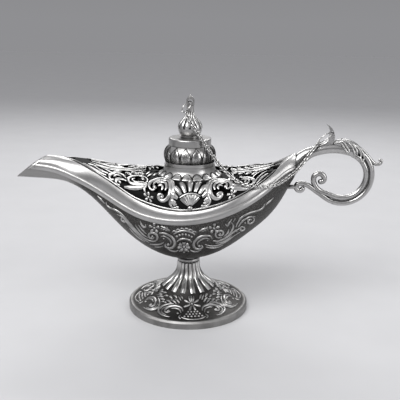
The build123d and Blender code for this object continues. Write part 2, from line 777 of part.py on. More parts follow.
def make_handle():
    stem = stem_bar()
    inner = chain_of(on_loop(INNER_STRAND, LOOP_START), LOOP_START - 90, [
        ("arc", INNER_STRAND, INNER_LEAVE - LOOP_START),
        ("run", INNER_RUN),
        ("arc", VOLUTE_ENTRY_BEND, -(INNER_LEAVE + 180)),
        ("arc", VOLUTE_BEND, -180),
        ("arc", VOLUTE_END_BEND, -VOLUTE_END_TURN),
    ])
    outer = chain_of(on_loop(OUTER_STRAND, LOOP_START), LOOP_START - 90, [
        ("arc", OUTER_STRAND, OUTER_SPLIT - LOOP_START),
    ])
    middle = in_plane(LOOP_X, LOOP_Z)
    web = sector(middle, INNER_STRAND, OUTER_STRAND, LOOP_START, OUTER_SPLIT, WEB_THICKNESS)
    handle = swept(Wire([stem]), STEM_BAR_RADIUS) + handle_root()
    handle += Pos(stem @ 0) * Sphere(STEM_BAR_RADIUS)
    strands = swept(inner, STRAND_RADIUS) + web + swept(outer, STRAND_RADIUS)
    strands += Pos(inner @ 1) * Sphere(STRAND_RADIUS)
    hole = Cylinder(HANDLE_SCREW_RADIUS + THREAD_CLEARANCE, 2 * (HANDLE_SCREW_LENGTH + STUD_TAIL))
    bowl_side = Pos(HULL[-1].x - FAR / 2, 0, LOOP_Z) * Box(FAR, FAR, FAR)
    return handle + strands - bowl_side - screw_axis() * hole


def make_scroll(handle, outer):
    """Outer strand from the loop back to the bowl, ending in a volute with a pad on the bowl."""
    path = chain_of(on_loop(OUTER_STRAND, OUTER_SPLIT), OUTER_SPLIT - 90, [
        ("arc", OUTER_STRAND, OUTER_LEAVE - OUTER_SPLIT),
        ("run", SCROLL_RUN),
        ("arc", SCROLL_BEND, 270 - OUTER_LEAVE - 360),
        ("arc", SCROLL_VOLUTE_BEND, 180),
        ("arc", SCROLL_END_BEND, SCROLL_END_TURN),
    ])
    scroll = swept(path, SCROLL_RADIUS) + Pos(path @ 1) * Sphere(SCROLL_RADIUS)
    volute = path.edges()[3] @ 0.5
    pad = Pos(volute - Vector(PAD_REACH / 2, 0, 0)) * Rot(0, 90, 0) * Cylinder(PAD_RADIUS, PAD_REACH)
    return scroll + (pad - outer) - handle


def make_handle_leaf(handle):
    """Lobed leaf lying on top of the loop, with a curled tail."""
    middle = in_plane(LOOP_X - LEAF_BACK, LEAF_Z)
    half = LEAF_THICKNESS / 2
    leaf = sector(middle, LEAF_RADIUS - half, LEAF_RADIUS + half, LEAF_FROM, LEAF_TO, LEAF_WIDTH)
    for i in range(1, LEAF_LOBES):
        angle = LEAF_FROM + (LEAF_TO - LEAF_FROM) * i / LEAF_LOBES
        bit = Rot(0, 90 - angle, 0) * Cylinder(LEAF_NOTCH, 4 * LEAF_THICKNESS)
        for side in (-1, 1):
            place = middle + heading(angle) * LEAF_RADIUS + Vector(0, side * LEAF_WIDTH / 2, 0)
            leaf -= Pos(place) * bit
    surface = OUTER_STRAND + STRAND_RADIUS
    tail = chain_of(on_loop(surface, TAIL_FROM), TAIL_FROM - 90, [
        ("arc", surface, TAIL_TO - TAIL_FROM),
        ("run", TAIL_RUN),
        ("arc", TAIL_BEND, 90 - TAIL_TO + TAIL_RISE),
        ("arc", TAIL_CURL, TAIL_CURL_TURN),
    ])
    curl = swept(tail, TAIL_RADIUS) + Pos(tail @ 1) * Sphere(TAIL_RADIUS)
    return leaf + curl - handle


def thumb_points():
    """Foot, middle and tip of the thumb leaf's middle line."""
    foot = stem_bar() @ THUMB_FOOT_SHARE + in_plane(0, THUMB_FOOT_RISE)
    tip = foot + in_plane(THUMB_LEAN, THUMB_HEIGHT)
    return foot, (foot + tip) / 2 + in_plane(THUMB_BOW, 0), tip


def make_thumb_leaf(handle):
    """Upright leaf bowed towards the loop, pointed at its tip, with an eye for the ring."""
    foot, middle, tip = thumb_points()
    wide = in_plane(THUMB_FOOT_WIDTH / 2, 0)
    half = in_plane(THUMB_THICKNESS / 2, 0)
    outline = Face(Wire([
        Line(foot - wide, foot + wide),
        ThreePointArc(foot + wide, middle + half, tip),
        ThreePointArc(tip, middle - half, foot - wide),
    ]))
    leaf = extrude(outline, THUMB_WIDTH / 2, dir=(0, 1, 0), both=True)
    eye = Pos(hook_eye()) * Rot(90, 0, 0) * Cylinder(THUMB_HOLE_RADIUS, 2 * THUMB_WIDTH)
    return leaf - eye - handle


def hook_eye():
    return ThreePointArc(*thumb_points()) @ THUMB_HOLE_SHARE


# Fasteners


def make_foot_bolt():
    top = nut_top() + BOLT_TAIL
    shank = Pos(0, 0, (STEM_CORE + top) / 2) * Cylinder(BOLT_RADIUS, top - STEM_CORE)
    head = Pos(0, 0, STEM_CORE - BOLT_HEAD_HEIGHT / 2) * Cylinder(BOLT_HEAD_RADIUS, BOLT_HEAD_HEIGHT)
    return shank + head


def washer_top():
    return BOWL_Z + FLOOR_BOSS_HEIGHT + BOLT_WASHER_THICKNESS


def nut_top():
    return washer_top() + BOLT_NUT_HEIGHT


def make_handle_screw():
    shank = Pos(0, 0, HANDLE_SCREW_LENGTH / 2) * Cylinder(HANDLE_SCREW_RADIUS, HANDLE_SCREW_LENGTH)
    head = Pos(0, 0, -HANDLE_SCREW_HEAD / 2) * Cylinder(HANDLE_SCREW_HEAD_RADIUS, HANDLE_SCREW_HEAD)
    return screw_axis() * (shank + head)


def make_collar(outer):
    """Rounded ring under the bowl, shaped to the bowl on top."""
    core = tube(STEM_TOP_RADIUS, BOLT_HOLE, STEM_HEIGHT, BOWL_Z + COLLAR_HEIGHT)
    bead_radius = COLLAR_HEIGHT / 2
    bead = Pos(0, 0, STEM_HEIGHT + bead_radius) * Torus(COLLAR_RADIUS - bead_radius, bead_radius)
    return core + bead - outer


# Rings and chain


def wire_ring(eye, radius, towards, through):
    """Round wire ring through an eye; its middle lies TOWARDS, its wire runs along THROUGH."""
    centre = eye + towards * radius
    place = Plane(origin=centre, x_dir=through, z_dir=through.cross(towards))
    return place * Torus(radius, RING_WIRE)


def finial_ring_lie():
    """Direction from the finial's eye to the ring's middle, and of the wire in the eye."""
    turn, lean = math.radians(FINIAL_RING_TURN), math.radians(FINIAL_RING_LEAN)
    through = Vector(math.sin(turn), math.cos(turn), 0)
    side = Vector(-math.cos(turn), math.sin(turn), 0)
    return side * math.sin(lean) - Vector(0, 0, math.cos(lean)), through


def finial_hang():
    """Point of the finial ring's wire, on its near side, that holds the chain; and the wire's line."""
    towards, through = finial_ring_lie()
    turn = math.radians(FINIAL_RING_HANG)
    spoke = towards * math.cos(turn) - through * math.sin(turn)
    wire = through * -math.cos(turn) - towards * math.sin(turn)
    return Vector(0, 0, eye_z()) + (towards + spoke) * FINIAL_RING_RADIUS, wire


def hook_ring_lie():
    """Direction from the thumb leaf's eye to the ring's middle, and of the wire in the eye."""
    towards = Vector(*HOOK_RING_HANG).normalized()
    across = Vector(0, 1, 0)
    return towards, (across - towards * towards.dot(across)).normalized()


def chain_path():
    """Chain's line: runs joined by arcs as large as the runs allow, from ring to ring."""
    hook_low = hook_eye() + hook_ring_lie()[0] * (2 * HOOK_RING_RADIUS)
    points = [finial_hang()[0]] + [Vector(*p) for p in CHAIN_ROUTE] + [hook_low]
    radii = []
    for a, b, c in zip(points, points[1:], points[2:]):
        turn = math.radians((b - a).get_angle(c - b))
        radii.append(CHAIN_BEND_SHARE * min((b - a).length, (c - b).length) / math.tan(turn / 2))
    print("chain bend radii", [round(r, 1) for r in radii])
    return FilletPolyline(points, radius=radii)


def make_link():
    """One oval link lying along X in the XY plane."""
    wide = LINK_WIDTH - 2 * LINK_WIRE
    straight = LINK_LENGTH - LINK_WIDTH
    path = Wire([
        Line((-straight / 2, -wide / 2), (straight / 2, -wide / 2)),
        ThreePointArc((straight / 2, -wide / 2), (straight / 2 + wide / 2, 0), (straight / 2, wide / 2)),
        Line((straight / 2, wide / 2), (-straight / 2, wide / 2)),
        ThreePointArc((-straight / 2, wide / 2), (-straight / 2 - wide / 2, 0), (-straight / 2, -wide / 2)),
    ])
    return swept(path, LINK_WIRE)


def link_places(path):
    """Middle and direction of each link, so that the end links take up the two rings."""
    inside = LINK_LENGTH - 4 * LINK_WIRE
    first = inside / 2 - RING_WIRE - LINK_SLACK / 2
    run = path.length - 2 * first
    count = math.ceil(run / (inside - LINK_SLACK)) + 1
    shares = [(first + run * i / (count - 1)) / path.length for i in range(count)]
    return [(path @ share, path % share) for share in shares]


def across(direction, along):
    """The part of a direction square to ALONG."""
    return (direction - along * direction.dot(along)).normalized()


def make_chain():
    """Links alternately flat and upright; the first and the last hang on the wire of a ring."""
    path = chain_path()
    places = link_places(path)
    link = make_link()
    flats = [across(finial_hang()[1], places[0][1])]
    for _, along in places[1:]:
        flats.append(across(flats[-1], along))
    last = len(places) - 1
    along = places[last][1]
    wanted = across(hook_ring_lie()[1], along)
    square = flats[last].rotate(Axis((0, 0, 0), along), 90 * (last % 2))
    twist = square.get_signed_angle(wanted, along)
    twist = (twist + 90) % 180 - 90
    links = []
    for i, (middle, along) in enumerate(places):
        flat = flats[i].rotate(Axis((0, 0, 0), along), 90 * (i % 2) + twist * i / last)
        links.append(Plane(origin=middle, x_dir=along, z_dir=flat) * link)
    print("chain length %.1f mm, %d links" % (path.length, len(links)))
    return Compound(children=links)


def main():
    os.makedirs("parts", exist_ok=True)
    outer = loft([bowl_section(s) for s in HULL])
    cavity = make_cavity()
    vault_top = vault(0)
    handle = make_handle()
    floor = BOWL_Z + FLOOR_BOSS_HEIGHT
    thread = BOLT_RADIUS + THREAD_CLEARANCE
    stud_thread = STUD_RADIUS + THREAD_CLEARANCE
    plate_under = FLANGE_TOP_Z - FLANGE_PLATE
    parts = {
        "foot_pedestal": make_foot(),
        "stem_collar": make_collar(outer),
        "foot_bolt": make_foot_bolt(),
        "bolt_washer": tube(BOLT_WASHER_RADIUS, BOLT_HOLE, floor, washer_top()),
        "bolt_nut": hex_nut(BOLT_NUT_WIDTH, thread, washer_top(), nut_top()),
        "bowl_shell": make_bowl(outer, cavity),
        "rim_band": make_band(cavity),
        "pierced_cover": make_cover(vault_top),
        "lid_seat_ring": make_seat_ring(vault_top),
        "handle_loop": handle,
        "handle_scroll": make_scroll(handle, outer),
        "handle_leaf": make_handle_leaf(handle),
        "thumb_leaf": make_thumb_leaf(handle),
        "handle_screw": make_handle_screw(),
        "lid_flange": make_flange(),
        "lid_drum": make_drum(),
        "lid_cap": make_cap(),
        "finial": make_finial(),
        "finial_stud": make_stud(),
        "lid_washer": tube(LID_WASHER_RADIUS, STUD_HOLE, lid_nut_top(), plate_under),
        "lid_nut": hex_nut(LID_NUT_WIDTH, stud_thread, lid_nut_top() - LID_NUT_HEIGHT, lid_nut_top()),
        "finial_ring": wire_ring(Vector(0, 0, eye_z()), FINIAL_RING_RADIUS, *finial_ring_lie()),
        "hook_ring": wire_ring(hook_eye(), HOOK_RING_RADIUS, *hook_ring_lie()),
        "chain": make_chain(),
    }
    for name, shape in parts.items():
        export_step(shape, os.path.join("parts", name + ".step"))


if __name__ == "__main__":
    main()
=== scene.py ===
# %% [markdown]
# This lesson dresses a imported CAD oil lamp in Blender: a boat-shaped pewter bowl on a fluted foot, with an
# openwork cover and a lid that hangs on a fine chain. The CAD parts give every size and every joint, so each
# new piece is fitted to them and the CAD meshes themselves stay as they are. The scene is in metres. Drawings
# and tables are in millimetres, and MM turns them into metres.

# %% Load the frame
import math

import bmesh
import bpy
from mathutils import Matrix, Vector
from mathutils.bvhtree import BVHTree


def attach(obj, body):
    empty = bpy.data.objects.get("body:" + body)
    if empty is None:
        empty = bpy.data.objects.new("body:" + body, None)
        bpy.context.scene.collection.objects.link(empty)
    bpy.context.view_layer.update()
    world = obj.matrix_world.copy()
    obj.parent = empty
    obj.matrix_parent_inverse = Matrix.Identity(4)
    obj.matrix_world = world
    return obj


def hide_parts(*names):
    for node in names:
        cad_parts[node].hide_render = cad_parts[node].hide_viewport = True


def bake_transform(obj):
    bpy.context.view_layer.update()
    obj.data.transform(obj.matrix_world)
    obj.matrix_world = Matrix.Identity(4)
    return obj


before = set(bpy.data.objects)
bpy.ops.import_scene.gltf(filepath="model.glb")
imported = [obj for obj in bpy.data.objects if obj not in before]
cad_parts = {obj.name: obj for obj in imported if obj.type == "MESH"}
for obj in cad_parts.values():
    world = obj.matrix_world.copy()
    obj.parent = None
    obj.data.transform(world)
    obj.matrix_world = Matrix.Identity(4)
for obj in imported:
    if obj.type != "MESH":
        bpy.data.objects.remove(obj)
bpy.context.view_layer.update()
scene = bpy.context.scene
MM = 0.001

# %% [markdown]
# The lamp was photographed from a little above its rim and almost square to its side, with a slight roll. A
# long lens at that height keeps the foot a flat ellipse and shows the top of the cover between lid and rim.

# %% Camera
CAMERA_PLACE = (0.00593, -0.3518, 0.1579)
LOOKS_DOWN = 15.22
LEANS = 0.92
lens = bpy.data.cameras.new("camera")
lens.lens = 59.2
lens.sensor_width = 36.0
camera = bpy.data.objects.new("camera", lens)
pitch = Matrix.Rotation(math.radians(90 - LOOKS_DOWN), 4, "X")
roll = Matrix.Rotation(math.radians(LEANS), 4, "Z")
camera.matrix_world = Matrix.Translation(CAMERA_PLACE) @ pitch @ roll
scene.collection.objects.link(camera)
scene.camera = camera
print("camera lens", lens.lens, "mm, looking down by", LOOKS_DOWN, "degrees")

# %% [markdown]
# The lid's chain is fine cable chain: oval wire links, each turned a quarter against the last. Its line is
# drawn first, as one smooth curve through the air from the finial's ring, down over the cover and the band,
# and up to the ring on the handle. The links then follow points read from that curve.

# %% Chain line
CHAIN_ROUTE = [
    (-2.13, -4.04, 111.94), (-1.6, -5.9, 109.2), (0.4, -8.2, 106.5), (2.7, -9.8, 103.3), (5.4, -10.8, 99.6),
    (8.1, -11.2, 95.4), (11.1, -11.6, 91.0), (14.5, -12.6, 86.7), (18.3, -14.6, 82.6), (22.2, -17.8, 79.4),
    (26.3, -20.9, 77.2), (30.4, -22.9, 76.4), (34.5, -23.4, 76.3), (38.7, -22.4, 75.8), (42.8, -19.9, 75.3),
    (46.8, -16.2, 75.9), (50.6, -12.6, 77.1), (54.0, -9.4, 79.1), (57.4, -7.4, 81.2), (60.1, -6.2, 84.0),
    (65.3, -4.6, 91.4), (67.5, -3.2, 93.9), (69.27, -1.57, 95.55),
]
line = bpy.data.curves.new("chain_line", "CURVE")
line.dimensions = "3D"
line.resolution_u = 12
spline = line.splines.new("NURBS")
spline.points.add(len(CHAIN_ROUTE) - 1)
for point, spot in zip(spline.points, CHAIN_ROUTE):
    point.co = (*(Vector(spot) * MM), 1)
spline.order_u = 3
spline.use_endpoint_u = True
line_object = bpy.data.objects.new("chain_line", line)
line_mesh = bpy.data.meshes.new_from_object(line_object)
chain_points = [v.co.copy() for v in line_mesh.vertices]
chain_length = sum((b - a).length for a, b in zip(chain_points, chain_points[1:]))
bpy.data.objects.remove(line_object)
print("chain %.1f mm" % (chain_length / MM), len(chain_points), "points")

# %% [markdown]
# One link starts as a ring: a small circle, the section of the wire, spun once round. Its halves are then
# pulled apart, which makes the ring an oval. A fine chain has many links, so each keeps a few dozen faces.

# %% One link
LINK_WIRE, LINK_LENGTH, LINK_WIDTH = 0.37 * MM, 3.1 * MM, 2.35 * MM
WIRE_SIDES = 6
LINK_STEPS = 12
stand = Matrix.Translation((LINK_WIDTH / 2 - LINK_WIRE, 0, 0)) @ Matrix.Rotation(math.pi / 2, 4, "X")
half_step = Matrix.Rotation(math.pi / LINK_STEPS, 4, "Z")
one = bmesh.new()
bmesh.ops.create_circle(one, segments=WIRE_SIDES, radius=LINK_WIRE, matrix=stand)
bmesh.ops.transform(one, matrix=half_step, verts=one.verts[:])
bmesh.ops.spin(one, geom=one.verts[:] + one.edges[:], angle=math.tau, steps=LINK_STEPS, axis=(0, 0, 1),
               cent=(0, 0, 0), use_merge=True)
for v in one.verts:
    v.co.x += math.copysign((LINK_LENGTH - LINK_WIDTH) / 2, v.co.x)
link_mesh = bpy.data.meshes.new("link")
one.to_mesh(link_mesh)
one.free()
print("link", len(link_mesh.polygons), "faces")

# %% [markdown]
# Copies of the link are set at equal steps along the line. A direction across the chain is carried from point
# to point, so that the chain doesn't twist, and every second link is turned a quarter from it. The links
# stand in for the CAD chain.

# %% Links along the line
LINK_PLAY = 0.12 * MM
FIRST_ACROSS = Vector((0.699, -0.383, 0.604))


def finish_mesh(bm, name, body):
    """Turns a bmesh into a smooth object of the scene that rides on a body."""
    bmesh.ops.recalc_face_normals(bm, faces=bm.faces)
    mesh = bpy.data.meshes.new(name)
    bm.to_mesh(mesh)
    bm.free()
    for face in mesh.polygons:
        face.use_smooth = True
    piece = bpy.data.objects.new(name, mesh)
    scene.collection.objects.link(piece)
    if body:
        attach(piece, body)
    return piece


link_count = math.ceil(chain_length / (LINK_LENGTH - 4 * LINK_WIRE - LINK_PLAY))
bm = bmesh.new()
walked, placed, across = 0.0, 0, FIRST_ACROSS
for a, b in zip(chain_points, chain_points[1:]):
    walked += (b - a).length
    along = (b - a).normalized()
    across = (across - along * across.dot(along)).normalized()
    if walked < (placed + 0.5) * chain_length / link_count:
        continue
    flat = along.cross(across) if placed % 2 else across
    turn = Matrix((along, flat.cross(along), flat)).transposed().to_4x4()
    first = len(bm.verts)
    bm.from_mesh(link_mesh)
    bm.verts.ensure_lookup_table()
    bmesh.ops.transform(bm, matrix=Matrix.Translation(b) @ turn, verts=bm.verts[first:])
    placed += 1
chain = finish_mesh(bm, "chain_links", None)
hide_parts("chain")
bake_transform(chain)
print("links", placed)

# %% [markdown]
# Finishes are trees of nodes, and the same few nodes come back in most of them: a metallic shader, a ramp
# between two colours, noise on the piece's own coordinates and a little bump. Each gets a helper here.

# %% Node kit
def metal(name, roughness):
    """New metallic material: its nodes, its links and its shader."""
    material = bpy.data.materials.new(name)
    material.use_nodes = True
    tree = material.node_tree
    shader = tree.nodes["Principled BSDF"]
    shader.inputs["Metallic"].default_value = 1.0
    shader.inputs["Roughness"].default_value = roughness
    return material, tree.nodes, tree.links, shader


def ramp(nodes, low, high, start=0.0, end=1.0):
    """Colour ramp between two colours."""
    made = nodes.new("ShaderNodeValToRGB")
    first, last = made.color_ramp.elements
    first.position, first.color = start, low
    last.position, last.color = end, high
    return made


def noise(nodes, links, scale, detail=3.0):
    """Noise on the piece's own coordinates."""
    spots = nodes.new("ShaderNodeTexCoord")
    made = nodes.new("ShaderNodeTexNoise")
    made.inputs["Scale"].default_value = scale
    made.inputs["Detail"].default_value = detail
    links.new(spots.outputs["Object"], made.inputs["Vector"])
    return made


def bump(nodes, links, height, shader, strength, distance):
    """Small surface relief from a height value."""
    made = nodes.new("ShaderNodeBump")
    made.inputs["Strength"].default_value = strength
    made.inputs["Distance"].default_value = distance
    links.new(height, made.inputs["Height"])
    links.new(made.outputs["Normal"], shader.inputs["Normal"])


def grain(nodes, links, shader, scale, strength, distance):
    """Fine grain of a casting, as bump."""
    bump(nodes, links, noise(nodes, links, scale).outputs["Fac"], shader, strength, distance)


print("node kit ready")

# %% [markdown]
# Wash and wear darken a metal, so they are multiplied into its colour. The Mix node keeps its colour sockets
# behind those for numbers and vectors, and gives all of them the same names, so they are called by place.

# %% Wash and wear
MIX_A, MIX_B, MIX_RESULT = 6, 7, 2
WHITE = (1, 1, 1, 1)


def multiply(nodes, links, a, b):
    """Product of two colours."""
    made = nodes.new("ShaderNodeMix")
    made.data_type, made.blend_type = "RGBA", "MULTIPLY"
    made.inputs["Factor"].default_value = 1.0
    links.new(a, made.inputs[MIX_A])
    links.new(b, made.inputs[MIX_B])
    return made.outputs[MIX_RESULT]


def mottled(nodes, links, colour, scale, least):
    """Colour with uneven wear; LEAST is the share that the darkest spots keep."""
    wear = ramp(nodes, (least, least, least, 1), WHITE, start=0.35, end=0.60)
    links.new(noise(nodes, links, scale).outputs["Fac"], wear.inputs["Fac"])
    return multiply(nodes, links, colour, wear.outputs["Color"])


print("colour sockets of Mix", MIX_A, MIX_B, MIX_RESULT)

# %% [markdown]
# The lamp stands on a plain floor, one large face with a faint cloudy grain. It is pale enough to open the
# shadows under the bowl.

# %% Floor
FLOOR_HALF = 3.0
bm = bmesh.new()
bmesh.ops.create_grid(bm, x_segments=1, y_segments=1, size=FLOOR_HALF)
floor = finish_mesh(bm, "floor", None)
floor_paint = bpy.data.materials.new("floor_paint")
floor_paint.use_nodes = True
nodes, links = floor_paint.node_tree.nodes, floor_paint.node_tree.links
shader = nodes["Principled BSDF"]
shader.inputs["Roughness"].default_value = 0.8
clouds = noise(nodes, links, scale=30.0, detail=2.0)
tone = ramp(nodes, (0.47, 0.47, 0.48, 1), (0.51, 0.51, 0.52, 1))
links.new(clouds.outputs["Fac"], tone.inputs["Fac"])
links.new(tone.outputs["Color"], shader.inputs["Base Color"])
floor.data.materials.append(floor_paint)
print("floor", 2 * FLOOR_HALF, "m wide")

# %% [markdown]
# Polished metal shows its surroundings more than its own colour. A large soft box from the upper left gives
# the band its long highlight, a second one from the right opens the shadow side, and a strip behind draws the
# rim of the lid.

# %% Soft boxes
MIDDLE = Vector((0.0, 0.0, 0.07))
# name, place, width, height and power
BOXES = [
    ("key_box", (-0.30, -0.42, 0.62), 0.55, 0.40, 5.2),
    ("fill_box", (0.62, -0.34, 0.30), 0.30, 0.45, 1.6),
    ("back_strip", (0.05, 0.55, 0.52), 0.80, 0.16, 3.0),
]
for name, place, width, height, power in BOXES:
    lamp = bpy.data.lights.new(name, "AREA")
    lamp.shape = "RECTANGLE"
    lamp.size, lamp.size_y, lamp.energy = width, height, power
    holder = bpy.data.objects.new(name, lamp)
    look = (MIDDLE - Vector(place)).to_track_quat("-Z", "Y")
    holder.matrix_world = Matrix.Translation(place) @ look.to_matrix().to_4x4()
    scene.collection.objects.link(holder)

# %% [markdown]
# The room is a plain backdrop that grows lighter towards the ceiling, and camera and metal see the same one.
# At the horizon it has the tone of the far floor, so no hard line is seen there.

# %% Room
HORIZON = (0.367, 0.367, 0.383, 1)
LOW_WALL = (0.335, 0.335, 0.346, 1)
CEILING = (0.80, 0.80, 0.82, 1)
room = bpy.data.worlds.new("room")
room.use_nodes = True
scene.world = room
nodes, links = room.node_tree.nodes, room.node_tree.links
air = nodes["Background"]
air.inputs["Strength"].default_value = 0.75
spots = nodes.new("ShaderNodeTexCoord")
parts = nodes.new("ShaderNodeSeparateXYZ")
height_tone = ramp(nodes, HORIZON, CEILING, end=0.75)
height_tone.color_ramp.elements.new(0.10).color = LOW_WALL
links.new(spots.outputs["Generated"], parts.inputs["Vector"])
links.new(parts.outputs["Z"], height_tone.inputs["Fac"])
links.new(height_tone.outputs["Color"], air.inputs["Color"])
scene.view_settings.view_transform = "Standard"
print("room", len(height_tone.color_ramp.elements), "tones")

# %% [markdown]
# The lamp is a zinc alloy casting, plated and then antiqued: black wash stays in the hollows and the raised
# places are rubbed bright again. A metallic shader shows this when its colour runs from near black to pewter.
# On plain castings the share of open sky round a point, the ambient occlusion, says how hollow it is.

# %% Antiqued castings
BRIGHT = (0.57, 0.565, 0.555, 1)
SILVER = (0.46, 0.455, 0.45, 1)
PEWTER = (0.32, 0.315, 0.31, 1)
SHADE = (0.15, 0.147, 0.143, 1)
GLOOM = (0.06, 0.058, 0.056, 1)
BLACK = (0.016, 0.016, 0.016, 1)
RUBBED = (0.38, 0.376, 0.372, 1)


def antiqued(name, low, high, roughness, reach, black=0.38, clear=0.80):
    """Casting with black wash in its hollows; REACH is how far a hollow looks round itself."""
    material, nodes, links, shader = metal(name, roughness)
    tone = ramp(nodes, low, high, start=0.30, end=0.68)
    links.new(noise(nodes, links, scale=90.0).outputs["Fac"], tone.inputs["Fac"])
    openness = nodes.new("ShaderNodeAmbientOcclusion")
    openness.samples = 8
    openness.inputs["Distance"].default_value = reach
    wash = ramp(nodes, BLACK, WHITE, black, clear)
    links.new(openness.outputs["AO"], wash.inputs["Fac"])
    washed = multiply(nodes, links, tone.outputs["Color"], wash.outputs["Color"])
    links.new(washed, shader.inputs["Base Color"])
    grain(nodes, links, shader, scale=1600.0, strength=0.10, distance=0.2 * MM)
    return material


polished = antiqued("polished_casting", RUBBED, (0.48, 0.475, 0.47, 1), roughness=0.36, reach=2.5 * MM)
# The handle's wash is darker and reaches further than on the other castings: besides the black wash in its
# hollows, it is painted shade in the grooves between the strands and inside the volutes.
handle_wash_and_shade = antiqued("handle_wash_and_shade_casting", RUBBED, (0.52, 0.515, 0.51, 1), roughness=0.25, reach=3.0 * MM,
                   black=0.58, clear=0.94)
worn = antiqued("worn_casting", PEWTER, SILVER, roughness=0.33, reach=2.0 * MM)
inked = antiqued("inked_line", BLACK, GLOOM, roughness=0.50, reach=1.0 * MM)
# Pure black on the pierced cover is painted shade: it stands for the dark inside of the lamp seen between the
# openwork.
hollow = antiqued("cover_painted_shade", BLACK, BLACK, roughness=0.70, reach=2.0 * MM)
drawn_wire = antiqued("drawn_wire", SILVER, BRIGHT, roughness=0.24, reach=0.5 * MM)
print("antiqued", [m.name for m in (polished, handle_wash_and_shade, worn, inked, hollow, drawn_wire)])

# %% [markdown]
# Behind its relief the bowl is punched all over with small dots and blackened. Cells of a Voronoi texture
# give both the dots' tone and their depth. Towards the spout the punching stops, so both fade out along X.

# %% Stippled ground
def stippled(name, low, high, roughness, cell, bare, full):
    """Ground with dots CELL apart, dark from X FULL onwards and plain pewter before X BARE."""
    material, nodes, links, shader = metal(name, roughness)
    spots = nodes.new("ShaderNodeTexCoord")
    dots = nodes.new("ShaderNodeTexVoronoi")
    dots.inputs["Scale"].default_value = 1 / cell
    links.new(spots.outputs["Object"], dots.inputs["Vector"])
    tone = ramp(nodes, high, low, start=0.15, end=0.55)
    links.new(dots.outputs["Distance"], tone.inputs["Fac"])
    parts = nodes.new("ShaderNodeSeparateXYZ")
    share = nodes.new("ShaderNodeMapRange")
    share.inputs["From Min"].default_value = bare
    share.inputs["From Max"].default_value = full
    links.new(spots.outputs["Object"], parts.inputs["Vector"])
    links.new(parts.outputs["X"], share.inputs["Value"])
    fade = nodes.new("ShaderNodeMix")
    fade.data_type = "RGBA"
    fade.inputs[MIX_A].default_value = PEWTER
    links.new(share.outputs["Result"], fade.inputs["Factor"])
    links.new(tone.outputs["Color"], fade.inputs[MIX_B])
    links.new(fade.outputs[MIX_RESULT], shader.inputs["Base Color"])
    depth = nodes.new("ShaderNodeMath")
    depth.operation = "MULTIPLY"
    links.new(dots.outputs["Distance"], depth.inputs[0])
    links.new(share.outputs["Result"], depth.inputs[1])
    bump(nodes, links, depth.outputs["Value"], shader, strength=0.5, distance=0.4 * MM)
    return material


ground = stippled("stippled_ground", GLOOM, SHADE, roughness=0.45, cell=0.6 * MM,
                  bare=-66 * MM, full=-57 * MM)
print("stippled", ground.name)

# %% [markdown]
# The foot is dark on its slope and bright on its rolled rim. It is round, so its tone can follow the distance
# from its axis. The hidden fasteners are plain turned steel, with the fine rings that a lathe leaves.

# %% Foot and fasteners
BAND_SPAN = 40.0


def banded(name, roughness, bands):
    """Turned casting whose tone changes with the distance from its axis; BANDS lists radius and colour."""
    material, nodes, links, shader = metal(name, roughness)
    spots = nodes.new("ShaderNodeTexCoord")
    parts = nodes.new("ShaderNodeSeparateXYZ")
    plan = nodes.new("ShaderNodeCombineXYZ")
    radius = nodes.new("ShaderNodeVectorMath")
    radius.operation = "LENGTH"
    share = nodes.new("ShaderNodeMath")
    share.operation = "DIVIDE"
    share.inputs[1].default_value = BAND_SPAN * MM
    links.new(spots.outputs["Object"], parts.inputs["Vector"])
    links.new(parts.outputs["X"], plan.inputs["X"])
    links.new(parts.outputs["Y"], plan.inputs["Y"])
    links.new(plan.outputs["Vector"], radius.inputs[0])
    links.new(radius.outputs["Value"], share.inputs[0])
    (inmost, core), *rings, (outmost, edge) = bands
    tone = ramp(nodes, core, edge, inmost / BAND_SPAN, outmost / BAND_SPAN)
    for place, colour in rings:
        tone.color_ramp.elements.new(place / BAND_SPAN).color = colour
    links.new(share.outputs["Value"], tone.inputs["Fac"])
    worn_tone = mottled(nodes, links, tone.outputs["Color"], scale=120.0, least=0.7)
    links.new(worn_tone, shader.inputs["Base Color"])
    grain(nodes, links, shader, scale=1600.0, strength=0.25, distance=0.3 * MM)
    return material


def turned_steel(name):
    """Bright fastener steel with fine rings left by the lathe."""
    material, nodes, links, shader = metal(name, roughness=0.32)
    spots = nodes.new("ShaderNodeTexCoord")
    rings = nodes.new("ShaderNodeTexWave")
    rings.wave_type, rings.rings_direction = "RINGS", "Z"
    rings.inputs["Scale"].default_value = 900.0
    tone = ramp(nodes, (0.42, 0.42, 0.43, 1), (0.58, 0.58, 0.59, 1))
    links.new(spots.outputs["Object"], rings.inputs["Vector"])
    links.new(rings.outputs["Fac"], tone.inputs["Fac"])
    links.new(tone.outputs["Color"], shader.inputs["Base Color"])
    return material


FOOT_BANDS = [(9.0, SHADE), (14.0, GLOOM), (31.4, GLOOM), (32.6, PEWTER)]
footing = banded("foot_casting", roughness=0.48, bands=FOOT_BANDS)
steel = turned_steel("turned_steel")
print("turned", footing.name, steel.name)

# %% [markdown]
# Every CAD part takes the finish that its place on the lamp calls for: polished where hands rub it, worn on
# the turned and fluted pieces, and stippled where scrolls will stand out from the ground. The pierced cover
# is
# pure black: painted shade for the dark inside that shows between its scrolls. The slot names the material of
# the part's record.

# %% Finishes on the CAD nodes
CASTING = "antiqued_casting"
DRESS = [
    (polished, CASTING, ["rim_band", "stem_collar", "lid_flange"]),
    (handle_wash_and_shade, CASTING, ["handle_loop", "handle_scroll", "handle_leaf", "thumb_leaf"]),
    (worn, CASTING, ["lid_seat_ring", "lid_drum", "lid_cap", "finial"]),
    (footing, CASTING, ["foot_pedestal"]),
    (ground, CASTING, ["bowl_shell"]),
    (hollow, CASTING, ["pierced_cover"]),
    (drawn_wire, "wire", ["finial_ring", "hook_ring"]),
    (steel, "steel", ["foot_bolt", "bolt_washer", "bolt_nut", "handle_screw", "finial_stud", "lid_washer",
                      "lid_nut"]),
]


def dress(piece, finish):
    """Gives a piece its material."""
    piece.data.materials.clear()
    piece.data.materials.append(finish)


